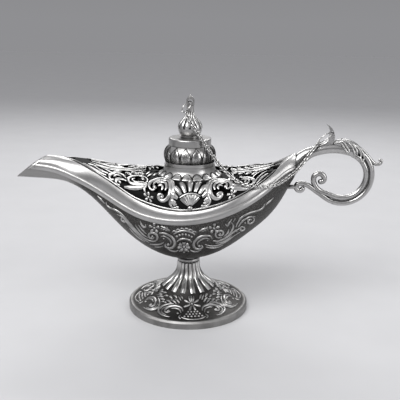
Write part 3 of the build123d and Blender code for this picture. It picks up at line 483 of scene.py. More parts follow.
for finish, slot, names in DRESS:
    for name in names:
        dress(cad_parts[name], finish)
dress(chain, drawn_wire)
print("dressed", sum(len(names) for _, _, names in DRESS), "nodes")

# %% [markdown]
# Scrollwork on cast metal was first drawn flat and then carved into the curved pattern. The same two steps
# work here. A strand is drawn as a curve with a round bevel that swells and tapers, in millimetres on a flat
# chart. One curve object holds all the strands of a drawing.

# %% Strands
def new_drawing(sides=2, steps=4):
    """Empty flat drawing of round strands; SIDES and STEPS say how fine they become across and along."""
    drawing = bpy.data.curves.new("drawing", "CURVE")
    drawing.dimensions = "3D"
    drawing.bevel_depth = 1.0
    drawing.bevel_resolution = sides
    drawing.resolution_u = steps
    drawing.use_fill_caps = True
    return drawing


def strand(drawing, points, width, start=0.35, end=0.35):
    """Strand through points, whose third number, if any, is a height; WIDTH is its radius in the middle."""
    spline = drawing.splines.new("BEZIER")
    spline.bezier_points.add(len(points) - 1)
    for i, (knot, spot) in enumerate(zip(spline.bezier_points, points)):
        share = 2 * i / (len(points) - 1) - 1
        tip = start if share < 0 else end
        knot.co = (*spot, 0)[:3]
        knot.handle_left_type = knot.handle_right_type = "AUTO"
        knot.radius = width * (1 - (1 - tip) * share * share)


print("strands ready")

# %% [markdown]
# A few figures come back all over the lamp: the curl, the arc, the fan of petals and the round flower. Pearls
# are kept in a list of their own, because a ball is no strand.

# %% Curls, arcs, fans and flowers
def curl(x, y, radius, start, turns, inner=0.3):
    """Points of a spiral that winds inwards about a middle, from START degrees."""
    count = max(4, round(abs(turns) * 8))
    points = []
    for i in range(count + 1):
        size = radius * (1 - (1 - inner) * i / count)
        angle = math.radians(start + 360 * turns * i / count)
        points.append((x + size * math.cos(angle), y + size * math.sin(angle)))
    return points


def bow(x, y, radius, reach, flat=1.0):
    """Arc over a point, REACH degrees to both sides."""
    turns = [math.radians(reach * i / 4) for i in range(-4, 5)]
    return [(x + radius * math.sin(t), y + flat * radius * math.cos(t)) for t in turns]


def fan(drawing, x, y, petals, width, start=0.45, end=0.75):
    """Petals that spread from a point; each has an angle from straight up, a near end and a far end."""
    for angle, near, far in petals:
        side, up = math.sin(math.radians(angle)), math.cos(math.radians(angle))
        reaches = (near, near + 0.65 * (far - near), far)
        strand(drawing, [(x + side * r, y + up * r) for r in reaches], width, start, end)


def flower(drawing, pearls, x, y, size, petals=5):
    """Round flower with a pearl in its middle."""
    fan(drawing, x, y, [(360 * i / petals, 0.35 * size, size) for i in range(petals)], 0.32 * size)
    pearls.append((x, y, 0.26 * size))


print("curl of one turn", len(curl(0, 0, 1, 0, 1)), "points")

# %% [markdown]
# The relief was rubbed bright on top while the wash stayed on its flanks. An attribute named lift tells how
# far each point of a strand looks up from the ground, so the metal can run from black at the foot of a strand
# to bright on its back. Bold relief is brighter and smoother than the low relief on bowl and foot.

# %% Relief metal
def chased_metal(name, top, roughness):
    """Relief rubbed bright on top, black down its flanks."""
    material, nodes, links, shader = metal(name, roughness)
    height = nodes.new("ShaderNodeAttribute")
    height.attribute_name = "lift"
    tone = ramp(nodes, BLACK, top, end=0.36)
    links.new(height.outputs["Fac"], tone.inputs["Fac"])
    rubbed_tone = mottled(nodes, links, tone.outputs["Color"], scale=220.0, least=0.62)
    links.new(rubbed_tone, shader.inputs["Base Color"])
    grain(nodes, links, shader, scale=1800.0, strength=0.12, distance=0.2 * MM)
    return material


bold_relief = chased_metal("bold_relief", (0.64, 0.635, 0.625, 1), roughness=0.28)
low_relief = chased_metal("low_relief", SILVER, roughness=0.34)
print("relief", bold_relief.name, low_relief.name)

# %% [markdown]
# To carve a drawing, it is made a mesh and every vertex is carried to a surface: the plane of the chart
# follows the surface, and the height above the chart stands along its normal. A chart is a function that
# gives the point and the normal for a place on the drawing. The lamp is alike on both sides, so most drawings
# are laid twice.

# %% Laying a drawing on a surface
BOTH_SIDES = (-1, 1)


def lay(name, drawing, pearls, surface, body, finish, rise, deep=1.0, sides=(-1,)):
    """Carries a drawing and its pearls onto a surface; RISE and DEEP stretch it above and below ground."""
    holder = bpy.data.objects.new(name, drawing)
    flat = bpy.data.meshes.new_from_object(holder)
    bpy.data.objects.remove(holder)
    bm = bmesh.new()
    lifts = []
    for side in sides:
        first = len(bm.verts)
        bm.from_mesh(flat)
        for u, v, size in pearls:
            bmesh.ops.create_icosphere(bm, subdivisions=2, radius=size, matrix=Matrix.Translation((u, v, 0)))
        bm.verts.ensure_lookup_table()
        bm.normal_update()
        fresh = bm.verts[first:]
        lifts += [vert.normal.z for vert in fresh]
        for vert in fresh:
            spot, normal = surface(vert.co.x, vert.co.y, side)
            height = vert.co.z * (rise if vert.co.z > 0 else deep)
            vert.co = spot + normal * height * MM
    piece = finish_mesh(bm, name, body)
    piece.data.attributes.new("lift", "FLOAT", "POINT").data.foreach_set("value", lifts)
    dress(piece, finish)
    print(name, len(piece.data.polygons), "faces")
    return piece


print("drawings can be laid")

# %% [markdown]
# Three kinds of chart find their surface by casting a ray at a CAD part. The bowl's side is looked at
# straight on. The foot's slope is unrolled round its axis and seen from above, and the stem and the lid are
# unrolled like the label of a bottle.

# %% Charts on the CAD surfaces
REACH = 60.0
graph = bpy.context.evaluated_depsgraph_get()


def cast(tree, start, direction):
    """Point and outward normal where a ray meets a part."""
    spot, normal, _, _ = tree.ray_cast(Vector(start) * MM, Vector(direction))
    if spot is None:
        spot, normal, _, _ = tree.find_nearest(Vector(start) * MM)
    return spot, normal


def side_chart(node):
    """Side view of a part: X and height."""
    tree = BVHTree.FromObject(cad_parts[node], graph)
    return lambda x, z, side: cast(tree, (x, side * REACH, z), (0, -side, 0))


def slope_chart(node, radius):
    """Plan of a round part: length along the circle of RADIUS, and distance from the axis."""
    tree = BVHTree.FromObject(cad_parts[node], graph)

    def surface(along, out, _):
        turn = along / radius
        return cast(tree, (out * math.cos(turn), out * math.sin(turn), REACH), (0, 0, -1))
    return surface


def label_chart(node, radius):
    """Unrolled flank of a round part: length along the circle of RADIUS, and height."""
    tree = BVHTree.FromObject(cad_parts[node], graph)

    def surface(along, height, _):
        x, y = math.cos(along / radius), math.sin(along / radius)
        return cast(tree, (REACH * x, REACH * y, height), (-x, -y, 0))
    return surface


print("charts ready")

# %% [markdown]
# The cover is openwork: scrolls, leaves and a scallop shell rise from the rim towards the lid with black gaps
# between them. Its chart runs along the rim and up the arch of each cross-section. The arch has full
# shoulders, so the shell stands almost upright. The same drawing is laid on both sides.

# %% Chart of the cover
SHOULDER = 0.85
ARCH_STEPS = 24
# X, half-width, height of the rim, height of the crest
DOME = [
    (-68.5, 0.2, 84.9, 85.2), (-62.5, 3.0, 84.2, 84.9), (-54, 8.9, 81.6, 82.9), (-42, 16.5, 76.6, 79.6),
    (-26, 23.6, 68.3, 78.6), (-4, 27.8, 63.9, 78.4), (18, 26.0, 67.8, 78.6), (34, 19.6, 75.0, 79.8),
    (45, 9.9, 81.3, 82.6), (51.5, 0.2, 85.6, 85.8),
]
HALF_WIDTH, RIM, CREST = 1, 2, 3


def between(table, x, column):
    """Smooth value of a table's column at X."""
    last = len(table) - 2
    i = max([k for k in range(last + 1) if table[k][0] <= x], default=0)
    span = table[i + 1][0] - table[i][0]
    t = min(max((x - table[i][0]) / span, 0), 1)

    def slope(k):
        a, b = table[max(k - 1, 0)], table[min(k + 1, last + 1)]
        return (b[column] - a[column]) / (b[0] - a[0])
    near = table[i][column] * (1 + 2 * t) + slope(i) * span * t
    far = table[i + 1][column] * (3 - 2 * t) + slope(i + 1) * span * (t - 1)
    return near * (1 - t) ** 2 + far * t * t


def arch(x, share):
    """Distance from the crest line and height at a share of the way from rim to crest."""
    half, low, high = (between(DOME, x, column) for column in (HALF_WIDTH, RIM, CREST))
    s, r = share, 1 - share
    out = r ** 3 + 3 * r * r * s + 3 * r * s * s * SHOULDER
    up = 3 * r * r * s * SHOULDER + 3 * r * s * s + s ** 3
    return Vector((half * out, low + (high - low) * up))


def dome(x, along, side):
    """Point and normal of the cover ALONG millimetres up from the rim."""
    last, walked = arch(x, 0), 0.0
    for i in range(1, ARCH_STEPS + 1):
        spot = arch(x, i / ARCH_STEPS)
        step = spot - last
        if walked + step.length >= along or i == ARCH_STEPS:
            here = last + step * ((along - walked) / step.length)
            tangent = step.normalized()
            return Vector((x, side * here.x, here.y)) * MM, Vector((0, side * tangent.y, -tangent.x))
        walked += step.length
        last = spot


print("crest at the middle", round(arch(0, 1).y, 1), "mm")

# %% [markdown]
# In the middle stands the shell: a ribbed inner fan over a ball, and nine loose petals round it. A pair of
# large C-shaped scrolls frames it. Each is a double strand that starts in an eye, climbs beside the lid,
# comes down and curls outwards at its foot. The right-hand scroll is the mirror image, pressed a little where
# the rim is higher.

# %% Shell and scrolls of the cover
AXIS, SHELL_FOOT = 0.8, 1.6
# degrees to both sides, near end and far end
SHELL_PETALS = [(0, 8.3, 16.0), (18, 8.2, 15.0), (36, 8.1, 13.4), (54, 7.9, 11.8), (73, 7.6, 10.2)]
drawing, pearls = new_drawing(), []
for angle, near, far in SHELL_PETALS:
    pair = [(turn, near, far) for turn in sorted({angle, -angle})]
    fan(drawing, AXIS, SHELL_FOOT, pair, width=1.62, start=0.55, end=0.85)
ribs = [(turn, 1.4, 6.5) for turn in (0, 15, -15, 30, -30, 45, -45)]
fan(drawing, AXIS, SHELL_FOOT, ribs, width=0.80, start=0.35, end=1.0)
strand(drawing, bow(AXIS, SHELL_FOOT, radius=7.2, reach=math.degrees(0.8)), width=0.5, start=0.8, end=0.8)
pearls.append((AXIS, 1.0, 1.5))

SCROLL_BOLD = 1.5
# points and width of each strand
C_SCROLL = [
    ([(-17.4, 9.6), (-18.6, 7.9), (-20.2, 8.6), (-20.4, 11.2), (-18.6, 15.0), (-15.4, 18.6), (-12.6, 20.0),
      (-9.8, 18.6), (-8.2, 14.4), (-7.8, 10.0), (-8.6, 5.8), (-9.4, 3.4), (-8.4, 1.5), (-5.8, 1.5)], 0.72),
    ([(-18.4, 10.8), (-17.6, 13.4), (-15.0, 16.4), (-12.4, 17.5), (-10.4, 16.4), (-9.7, 13.6), (-9.5, 10.0),
      (-10.3, 6.6), (-12.0, 4.4), (-14.0, 3.7), (-15.5, 4.9), (-14.8, 6.8), (-13.2, 6.5),
      (-13.5, 5.3)], 0.66),
    ([(-16.4, 13.0), (-14.6, 14.8), (-12.6, 14.9), (-11.5, 12.6), (-12.0, 9.6)], 0.60),
    ([(-15.8, 11.2), (-14.4, 12.4), (-13.5, 11.4), (-13.9, 9.2)], 0.56),
    ([(-8.6, 3.4), (-7.2, 3.0), (-5.9, 3.3)], 0.55),
    ([(-22.0, 8.8), (-22.9, 6.4), (-21.8, 4.6)], 0.45),
]
SCROLL_PEARLS = [(-17.6, 9.9, 1.1), (-13.8, 5.5, 0.8), (-5.6, 1.6, 0.85)]
SCROLL_FLOWER = (-20.6, 3.4)


def beside(x, mirror):
    """Place to the left of the shell's axis, or its mirror image."""
    return AXIS + mirror * (x - AXIS)


for mirror, press in ((1, 1.0), (-1, 0.88)):
    for points, width in C_SCROLL:
        strand(drawing, [(beside(x, mirror), up * press) for x, up in points], width * SCROLL_BOLD)
    pearls += [(beside(x, mirror), up * press, size) for x, up, size in SCROLL_PEARLS]
    flower(drawing, pearls, beside(SCROLL_FLOWER[0], mirror), SCROLL_FLOWER[1] * press, size=2.5)
print("strands", len(drawing.splines))

# %% [markdown]
# Towards the spout and the handle the same shapes grow smaller: a ring-shaped volute, a long leaf lying along
# the rim, small curls, and slender petals that run out into the two points.

# %% Leaves and curls of the cover
LEAF_BOLD = 1.15
ENDS = [
    ([(-32.9, 8.2), (-34.2, 9.8), (-36.3, 11.5), (-38.7, 11.0), (-40.7, 6.9), (-41.9, 2.9), (-41.1, 1.1),
      (-39.4, 2.4)], 0.85),
    ([(-35.6, 8.0), (-37.6, 8.2), (-39.2, 5.6), (-39.6, 3.9)], 0.55),
    ([(-32.6, 6.5), (-34.7, 6.1), (-37.1, 4.2), (-38.2, 2.0), (-37.2, 0.9), (-35.9, 1.6)], 0.75),
    ([(-33.5, 2.2), (-30.4, 3.9), (-26.7, 5.9), (-23.6, 8.1), (-21.7, 10.4)], 1.15),
    ([(-21.5, 13.9), (-22.8, 16.7), (-25.6, 17.6), (-28.9, 15.4), (-31.2, 11.3), (-31.9, 8.2), (-30.8, 6.7),
      (-28.1, 7.4), (-24.8, 9.0), (-22.3, 11.1), (-21.5, 13.6)], 0.72),
    ([(-28.4, 12.6), (-29.6, 9.8), (-28.3, 8.9), (-25.9, 9.9), (-23.4, 11.6)], 0.55),
    (curl(-32.4, 16.0, 1.9, 200, -1.1), 0.55),
    (curl(-29.4, 20.4, 1.9, 230, -1.1), 0.55),
    (curl(-25.8, 21.4, 2.0, 250, -1.1), 0.55),
    ([(-23.2, 21.7), (-22.2, 26.0), (-21.6, 30.3)], 0.60),
    ([(-22.1, 18.9), (-21.0, 22.6), (-20.0, 26.5)], 0.60),
    ([(-19.1, 21.9), (-18.4, 24.6), (-17.6, 27.5)], 0.60),
    ([(-40.9, 10.5), (-39.0, 14.0), (-36.5, 17.6)], 0.55),
    ([(-24.0, 28.4), (-29.0, 26.0), (-34.0, 22.2), (-39.0, 18.2), (-44.0, 14.4), (-49.0, 10.9),
      (-54.0, 7.4)], 0.62),
    ([(-37.0, 19.4), (-41.0, 14.2), (-45.4, 11.2)], 0.55),
    ([(-43.6, 14.4), (-47.2, 10.4), (-51.0, 8.2)], 0.50),
    ([(-57.2, 0.9), (-54.2, 0.9), (-51.2, 0.9), (-47.7, 1.2), (-43.7, 1.8)], 0.80),
    ([(-51.2, 4.7), (-48.7, 3.9), (-45.8, 4.1), (-42.8, 4.8)], 0.75),
    ([(-47.9, 8.7), (-46.0, 8.9), (-43.6, 8.7), (-41.3, 9.0)], 0.65),
    ([(-54.6, 3.4), (-52.1, 5.1), (-49.5, 7.0)], 0.60),
    ([(27.3, 13.5), (30.4, 10.6), (32.8, 6.2), (33.8, 3.4), (32.7, 2.2), (30.0, 3.2)], 0.72),
    ([(27.6, 10.3), (30.2, 8.4), (31.4, 5.6), (30.7, 4.5), (29.1, 5.3)], 0.55),
    ([(27.4, 4.9), (25.6, 6.3), (23.0, 8.4), (21.2, 11.3), (21.1, 15.4), (22.5, 17.0), (23.9, 14.0),
      (23.6, 11.4)], 0.70),
    ([(21.3, 8.9), (23.0, 6.1), (26.5, 3.8), (30.0, 1.7), (31.6, 0.8)], 1.05),
    ([(33.9, 1.9), (35.4, 3.4), (37.3, 4.8), (39.3, 5.7), (41.3, 6.2)], 0.68),
    ([(35.1, 1.0), (37.1, 1.9), (39.5, 2.2), (41.8, 1.8)], 0.72),
    ([(33.3, 7.0), (34.9, 9.3), (37.3, 10.8), (40.3, 10.2)], 0.60),
    (curl(25.1, 24.2, 1.9, -20, 1.1), 0.55),
    (curl(27.9, 20.6, 1.9, -40, 1.1), 0.55),
    (curl(31.7, 16.8, 1.8, -30, 1.1), 0.55),
    (curl(34.6, 12.6, 1.6, -30, 1.1), 0.50),
    ([(23.0, 27.9), (27.0, 25.3), (31.0, 22.3), (35.0, 18.9), (39.0, 15.2), (43.0, 10.8),
      (46.0, 7.0)], 0.62),
    ([(33.4, 20.2), (36.4, 15.8), (39.8, 12.4)], 0.55),
    ([(38.6, 15.4), (41.0, 10.8), (43.4, 8.0)], 0.50),
    ([(21.6, 19.6), (20.8, 23.6), (20.2, 27.4)], 0.60),
    ([(23.6, 19.4), (23.2, 23.4), (22.8, 26.6)], 0.55),
]
for points, width in ENDS:
    strand(drawing, points, width * LEAF_BOLD)
pearls += [(-36.0, 3.2, 0.8), (-24.3, 13.9, 1.1), (27.3, 14.2, 0.8), (29.4, 6.6, 0.7)]
rim_line = [(x, 0.2) for x in range(-66, 50, 4)]
strand(drawing, rim_line, width=0.55, start=0.6, end=0.6)
lay("cover_openwork", drawing, pearls, dome, "lamp", bold_relief, rise=0.62, deep=2.0, sides=BOTH_SIDES)

# %% [markdown]
# The bowl's side carries lower relief on its black stippled ground. A pearled fan with a scalloped edge
# stands over a daisy in the middle.

# %% Fan and daisy of the bowl
drawing, pearls = new_drawing(), []
FAN = (-1.9, 45.6)
DAISY = (FAN[0] - 0.2, 44.2)
strand(drawing, bow(*FAN, radius=8.2, reach=42), width=0.55, start=0.6, end=0.6)
strand(drawing, bow(*FAN, radius=4.2, reach=66, flat=0.85), width=0.50, start=0.6, end=0.6)
for turn in (-38, -23, -8, 8, 23, 38):
    pearls.append((*bow(*FAN, radius=6.2, reach=turn)[-1], 0.60))
    scallop = bow(*FAN, radius=8.6, reach=turn * 0.95)[-1]
    strand(drawing, bow(*scallop, radius=1.0, reach=75), width=0.45, start=0.6, end=0.6)
flower(drawing, pearls, *DAISY, size=3.2, petals=7)
pearls += [(DAISY[0], 40.0, 0.6), (FAN[0] - 2.4, 40.8, 0.5), (FAN[0] + 2.0, 40.8, 0.5)]
print("strands", len(drawing.splines), "pearls", len(pearls))

# %% [markdown]
# Two C-scrolls stand beside the fan, and long double tendrils with leaves run from them along the bowl to
# spout and handle. Small flowers and feathered sprigs fill the ground under the band.

# %% Scrolls and tendrils of the bowl
TENDRIL_BOLD = 1.45
BOWL_STRANDS = [
    ([(-14.9, 51.7), (-12.6, 51.9), (-10.2, 51.2), (-7.6, 48.9), (-6.8, 46.0), (-8.0, 43.4), (-10.2, 42.6),
      (-11.9, 43.8), (-11.4, 45.5)], 0.55),
    ([(-14.0, 49.9), (-12.0, 50.0), (-9.9, 48.9), (-8.8, 46.8), (-9.2, 45.2)], 0.36),
    ([(-11.0, 41.9), (-8.8, 40.6), (-6.6, 40.3), (-5.0, 41.4)], 0.38),
    ([(12.6, 48.6), (11.6, 50.4), (9.2, 51.0), (6.2, 50.3), (3.8, 48.2), (2.9, 45.4), (4.0, 43.0),
      (6.2, 42.4), (7.6, 43.6), (6.9, 45.1)], 0.55),
    ([(11.2, 48.6), (9.4, 49.4), (6.8, 48.6), (5.0, 46.6), (5.2, 45.0)], 0.36),
    ([(7.0, 41.4), (4.8, 40.4), (2.6, 40.6), (1.2, 41.6)], 0.38),
    ([(-48.4, 67.6), (-46.4, 66.0), (-44.4, 64.0)], 0.42),
    ([(-43.6, 65.0), (-43.1, 63.2), (-41.4, 62.2), (-38.6, 61.7), (-36.2, 60.7), (-33.8, 58.9),
      (-31.4, 56.2), (-28.4, 52.9), (-25.0, 49.2), (-22.6, 47.2), (-19.6, 46.0), (-17.0, 46.2)], 0.46),
    ([(-37.6, 59.0), (-35.0, 58.4), (-32.6, 56.2), (-29.8, 52.9), (-26.8, 49.4), (-23.8, 46.5),
      (-20.6, 44.6)], 0.40),
    ([(-27.6, 55.0), (-25.6, 52.2), (-23.4, 49.6), (-20.9, 47.9)], 0.38),
    ([(-25.8, 55.2), (-23.6, 52.2), (-21.6, 50.2)], 0.36),
    (curl(-18.6, 49.3, 3.4, 250, 1.3, 0.25), 0.46),
    ([(-24.8, 57.6), (-24.0, 55.4), (-22.4, 54.3), (-22.0, 56.2)], 0.42),
    (curl(-33.6, 56.6, 2.0, 60, 1.0, 0.3), 0.36),
    ([(13.0, 47.4), (15.4, 46.9), (18.0, 47.6), (20.4, 49.2), (22.6, 51.0), (25.0, 52.4),
      (27.4, 53.5)], 0.46),
    ([(14.4, 45.6), (17.4, 45.7), (20.4, 47.2), (23.0, 49.4)], 0.38),
    ([(24.8, 54.6), (25.8, 57.4), (27.8, 60.0), (31.0, 61.6), (34.6, 62.2), (37.8, 62.6), (39.4, 63.6),
      (39.9, 65.4)], 0.46),
    ([(26.2, 54.4), (27.6, 57.0), (30.0, 58.8), (32.8, 59.4), (35.2, 58.7)], 0.40),
    (curl(32.6, 56.8, 2.3, 60, -1.1, 0.3), 0.40),
    ([(40.8, 64.4), (42.8, 66.2), (44.9, 67.6)], 0.42),
    ([(20.6, 49.6), (22.4, 52.2), (23.4, 55.2), (22.4, 57.8)], 0.40),
    ([(18.6, 49.4), (20.6, 51.8), (21.2, 54.0)], 0.36),
    (curl(16.6, 51.6, 2.9, 290, -1.3, 0.25), 0.44),
    ([(19.2, 57.2), (20.2, 56.0), (21.0, 57.2), (22.4, 59.4)], 0.38),
    ([(23.2, 58.0), (24.4, 59.8)], 0.36),
    (curl(28.2, 52.4, 1.8, 150, -1.1, 0.3), 0.40),
    ([(8.8, 45.4), (11.6, 44.0), (15.0, 43.8), (18.4, 45.0), (21.6, 47.0), (24.6, 49.2),
      (27.2, 50.4)], 0.38),
    ([(9.4, 43.4), (12.4, 42.2), (15.6, 42.2), (18.6, 43.4)], 0.36),
    ([(-12.6, 46.2), (-14.4, 44.8), (-17.2, 43.9), (-20.2, 43.4)], 0.40),
    ([(-12.8, 43.8), (-15.0, 42.5), (-17.8, 41.8)], 0.36),
    ([(-31.0, 51.6), (-28.4, 48.8), (-25.6, 46.2), (-22.8, 44.4)], 0.38),
]
for points, width in BOWL_STRANDS:
    strand(drawing, points, width * TENDRIL_BOLD)
pearls += [(-10.3, 45.0, 0.75), (5.9, 44.4, 0.75), (-18.6, 49.3, 0.6), (16.6, 51.6, 0.6), (-12.6, 48.6, 0.4),
           (10.2, 48.0, 0.4), (29.8, 56.2, 0.5), (25.4, 51.6, 0.4)]
flower(drawing, pearls, -17.4, 54.6, size=2.8)
flower(drawing, pearls, 13.4, 55.0, size=2.8)

BARBS, BARB_STEP, BARB_CLIMB, BARB_WIDTH = 3, 1.3, 0.4, 0.42
for x, mirror in ((-9.4, -1), (5.8, 1)):
    sprig = [(x, 53.6), (x + mirror * 2.2, 54.8), (x + mirror * 4.6, 55.6)]
    strand(drawing, sprig, width=0.70, start=0.5, end=0.3)
    for k in range(BARBS):
        barb, up = x + mirror * (1.0 + BARB_STEP * k), BARB_CLIMB * k
        strand(drawing, [(barb, 54.6 + up), (barb + mirror * 0.5, 55.6 + up)], BARB_WIDTH)
        strand(drawing, [(barb + mirror * 0.2, 53.6 + up), (barb + mirror * 1.3, 53.4 + up)], BARB_WIDTH)
lay("bowl_relief", drawing, pearls, side_chart("bowl_shell"), "lamp", low_relief, rise=1.0, sides=BOTH_SIDES)

# %% [markdown]
# The spout's mouth is edged by a small bead. It follows the slanted cut of the band just inside its edge.

# %% Lip of the spout
LIP = [(-87.2, 79.5), (-85.2, 80.8), (-82.6, 82.6), (-80.0, 84.2), (-78.0, 85.3)]
drawing = new_drawing()
strand(drawing, LIP, width=0.5, start=0.4, end=0.5)
lay("spout_lip", drawing, [], side_chart("rim_band"), "lamp", bold_relief, rise=0.7, sides=BOTH_SIDES)

# %% [markdown]
# Four times round the foot stands a flower over a pearled shell, between two C-scrolls and fans of leaves.
# The chart is unrolled at the middle of the slope, so one quarter is drawn and moved along that circle.

# %% Relief on the foot
FOOT_MIDDLE = 25.0
QUARTER = FOOT_MIDDLE * math.pi / 2
FIRST = FOOT_MIDDLE * math.radians(-83.0)
FLOWER_OUT = 19.8
FOOT_BOLD = 1.3
# points along the circle and away from the axis, and width
FOOT_STRANDS = [
    ([(-5.4, 24.6), (-6.4, 22.6), (-9.2, 21.6), (-12.4, 22.0), (-15.0, 23.6), (-15.4, 25.6), (-13.6, 26.6),
      (-12.4, 25.4)], 0.60),
    ([(-6.2, 25.8), (-7.4, 23.8), (-9.8, 23.0), (-12.4, 23.4)], 0.40),
    ([(-12.6, 20.4), (-16.2, 21.6), (-18.8, 24.4), (-18.0, 27.4), (-14.8, 29.2), (-11.2, 29.4)], 0.56),
    ([(-16.0, 22.8), (-17.2, 25.2), (-16.2, 27.4), (-13.2, 28.4)], 0.38),
    ([(-6.4, 27.0), (-6.8, 28.8), (-5.8, 30.0)], 0.42),
    ([(-8.6, 19.6), (-10.6, 18.4), (-13.2, 17.8)], 0.52),
    ([(-10.6, 20.2), (-13.2, 19.0), (-16.0, 18.6)], 0.52),
    ([(-13.8, 20.6), (-16.2, 19.8), (-18.8, 19.6)], 0.50),
    ([(-8.0, 18.2), (-9.4, 17.0), (-11.4, 16.2)], 0.46),
    ([(-6.6, 17.4), (-7.8, 16.4), (-9.4, 15.6)], 0.44),
    ([(-11.6, 17.2), (-13.6, 16.3), (-15.8, 16.0)], 0.48),
    ([(-15.2, 17.9), (-17.2, 17.3), (-19.2, 17.2)], 0.46),
    ([(-17.6, 21.4), (-18.6, 20.8), (-19.6, 20.8)], 0.44),
]
PEARL_ROWS = [(24.8, 4), (26.4, 5), (28.0, 6)]
PEARL_STEP = 1.7
drawing, pearls = new_drawing(), []
for i in range(4):
    at = FIRST + i * QUARTER
    for mirror in (-1, 1):
        for points, width in FOOT_STRANDS:
            strand(drawing, [(at + mirror * x, r) for x, r in points], width * FOOT_BOLD)
        pearls += [(at - mirror * 13.4, 25.6, 0.8), (at - mirror * 8.0, 26.2, 0.6)]
        wide_petals = [(mirror * 70, 1.4, 5.6), (mirror * 150, 1.2, 4.4), (mirror * 110, 1.2, 5.8)]
        fan(drawing, at, FLOWER_OUT, wide_petals, width=0.72)
    fan(drawing, at, FLOWER_OUT, [(180, 1.0, 4.0), (145, 1.0, 3.8), (215, 1.0, 3.8)], width=0.66)
    fan(drawing, at, FLOWER_OUT, [(24, 1.2, 4.6), (-24, 1.2, 4.6)], width=0.70)
    pearls.append((at, FLOWER_OUT, 0.9))
    for radius, count in PEARL_ROWS:
        pearls += [(at + (k - (count - 1) / 2) * PEARL_STEP, radius, 0.60) for k in range(count)]
    brim = [(at + x, 30.4 - 0.05 * x * x) for x in (-5.6, -3.6, -1.4, 1.4, 3.6, 5.6)]
    strand(drawing, brim, width=0.48, start=0.8, end=0.8)
lay("foot_relief", drawing, pearls, slope_chart("foot_pedestal", FOOT_MIDDLE), "lamp", low_relief, rise=1.0)

# %% [markdown]
# The stem's rounded ribs run between the grooves of the casting and spread out below like a trumpet. On the
# unrolled chart they are upright strands, and the casting itself spreads them.

# %% Ribs of the stem
RIBS = 16
STEM_MIDDLE = 7.0
RIB_HEIGHTS = (12.2, 14.6, 18.0, 22.6, 26.8)
drawing = new_drawing()
for i in range(RIBS):
    at = math.tau * STEM_MIDDLE * (i + 0.5) / RIBS
    strand(drawing, [(at, z) for z in RIB_HEIGHTS], width=1.08, start=0.7, end=0.9)
lay("stem_ribs", drawing, [], label_chart("foot_pedestal", STEM_MIDDLE), "lamp", bold_relief, rise=0.9)

# %% [markdown]
# The lid is a turned stack with cast detail, which rides with it when it is lifted. Rounded tongues hang
# round the skirt of the flange, each under a dark arch. Their chart is unrolled at the radius of the flange.

# %% Tongues of the flange
TONGUES = 18
FLANGE_MIDDLE = 16.0
TONGUE_HEIGHTS = (76.6, 77.3, 78.0, 78.7, 79.3)
ARCH = ((-0.5, 77.4), (-0.4, 78.7), (-0.2, 79.5), (0, 79.7), (0.2, 79.5), (0.4, 78.7), (0.5, 77.4))
wide = math.tau * FLANGE_MIDDLE / TONGUES
lines, tongues = new_drawing(), new_drawing()
for i in range(TONGUES):
    at = wide * (i + 0.3)
    strand(lines, [(at + wide * x, z) for x, z in ARCH], width=0.28, start=0.8, end=0.8)
    strand(tongues, [(at, z) for z in TONGUE_HEIGHTS], width=0.45 * wide, start=1.0, end=0.15)
flange_chart = label_chart("lid_flange", FLANGE_MIDDLE)
lay("flange_lines", lines, [], flange_chart, "lid", inked, rise=0.5)
lay("flange_tongues", tongues, [], flange_chart, "lid", bold_relief, rise=0.1)

# %% [markdown]
# Pointed lotus petals stand round the drum, each with a dark outline and a fine engraved net. The petal is
# one wide, flat strand. The net is two sets of slanting strands on the petal, inked like the outline.

# %% Petals of the drum
PETALS = 14
DRUM_MIDDLE = 13.6
PETAL_HEIGHTS = (84.9, 86.8, 88.7, 90.6, 92.5)
OGIVE = ((0.47, 84.8), (0.49, 86.6), (0.44, 88.8), (0.28, 90.9), (0.0, 93.0))
NET_ROWS, NET_FOOT, NET_STEP, NET_CLIMB = 9, 84.6, 0.72, 0.9
wide = math.tau * DRUM_MIDDLE / PETALS
plates, outlines, net = new_drawing(), new_drawing(), new_drawing()
for i in range(PETALS):
    at = wide * (i + 0.15)
    strand(plates, [(at, z) for z in PETAL_HEIGHTS], width=0.44 * wide, start=0.9, end=0.12)
    for mirror in (-1, 1):
        strand(outlines, [(at + mirror * wide * x, z) for x, z in OGIVE], width=0.24, start=0.9, end=0.9)
        for k in range(NET_ROWS):
            low = NET_FOOT + NET_STEP * k
            side = mirror * wide * 0.36 * (1 - 0.085 * k)
            thread = [(at - side, low, 0.22), (at, low + NET_CLIMB, 0.28),
                      (at + side, low + 2 * NET_CLIMB, 0.22)]
            strand(net, thread, width=0.09, start=0.9, end=0.9)
drum_chart = label_chart("lid_drum", DRUM_MIDDLE)
lay("drum_petals", plates, [], drum_chart, "lid", bold_relief, rise=0.1)
lay("drum_outlines", outlines, [], drum_chart, "lid", inked, rise=1.0)
lay("drum_net", net, [], drum_chart, "lid", inked, rise=1.0)

# %% [markdown]
# The finial's bulb is fluted: rounded flutes with dark grooves between them draw together at its neck.

# %% Flutes of the finial
FLUTES = 12
BULB = 5.0
FLUTE_HEIGHTS = (102.4, 103.4, 105.4, 108.0, 111.0)
flutes, grooves = new_drawing(), new_drawing()
for i in range(FLUTES):
    at = math.tau * BULB * (i + 0.5) / FLUTES
    groove = at + math.tau * BULB * 0.5 / FLUTES
    strand(flutes, [(at, z) for z in FLUTE_HEIGHTS], width=1.2, start=0.75, end=0.85)
    strand(grooves, [(groove, z) for z in FLUTE_HEIGHTS], width=0.36, start=0.6, end=0.9)
bulb_chart = label_chart("finial", BULB)
lay("finial_grooves", grooves, [], bulb_chart, "lid", inked, rise=0.7)
lay("finial_flutes", flutes, [], bulb_chart, "lid", bold_relief, rise=0.35)

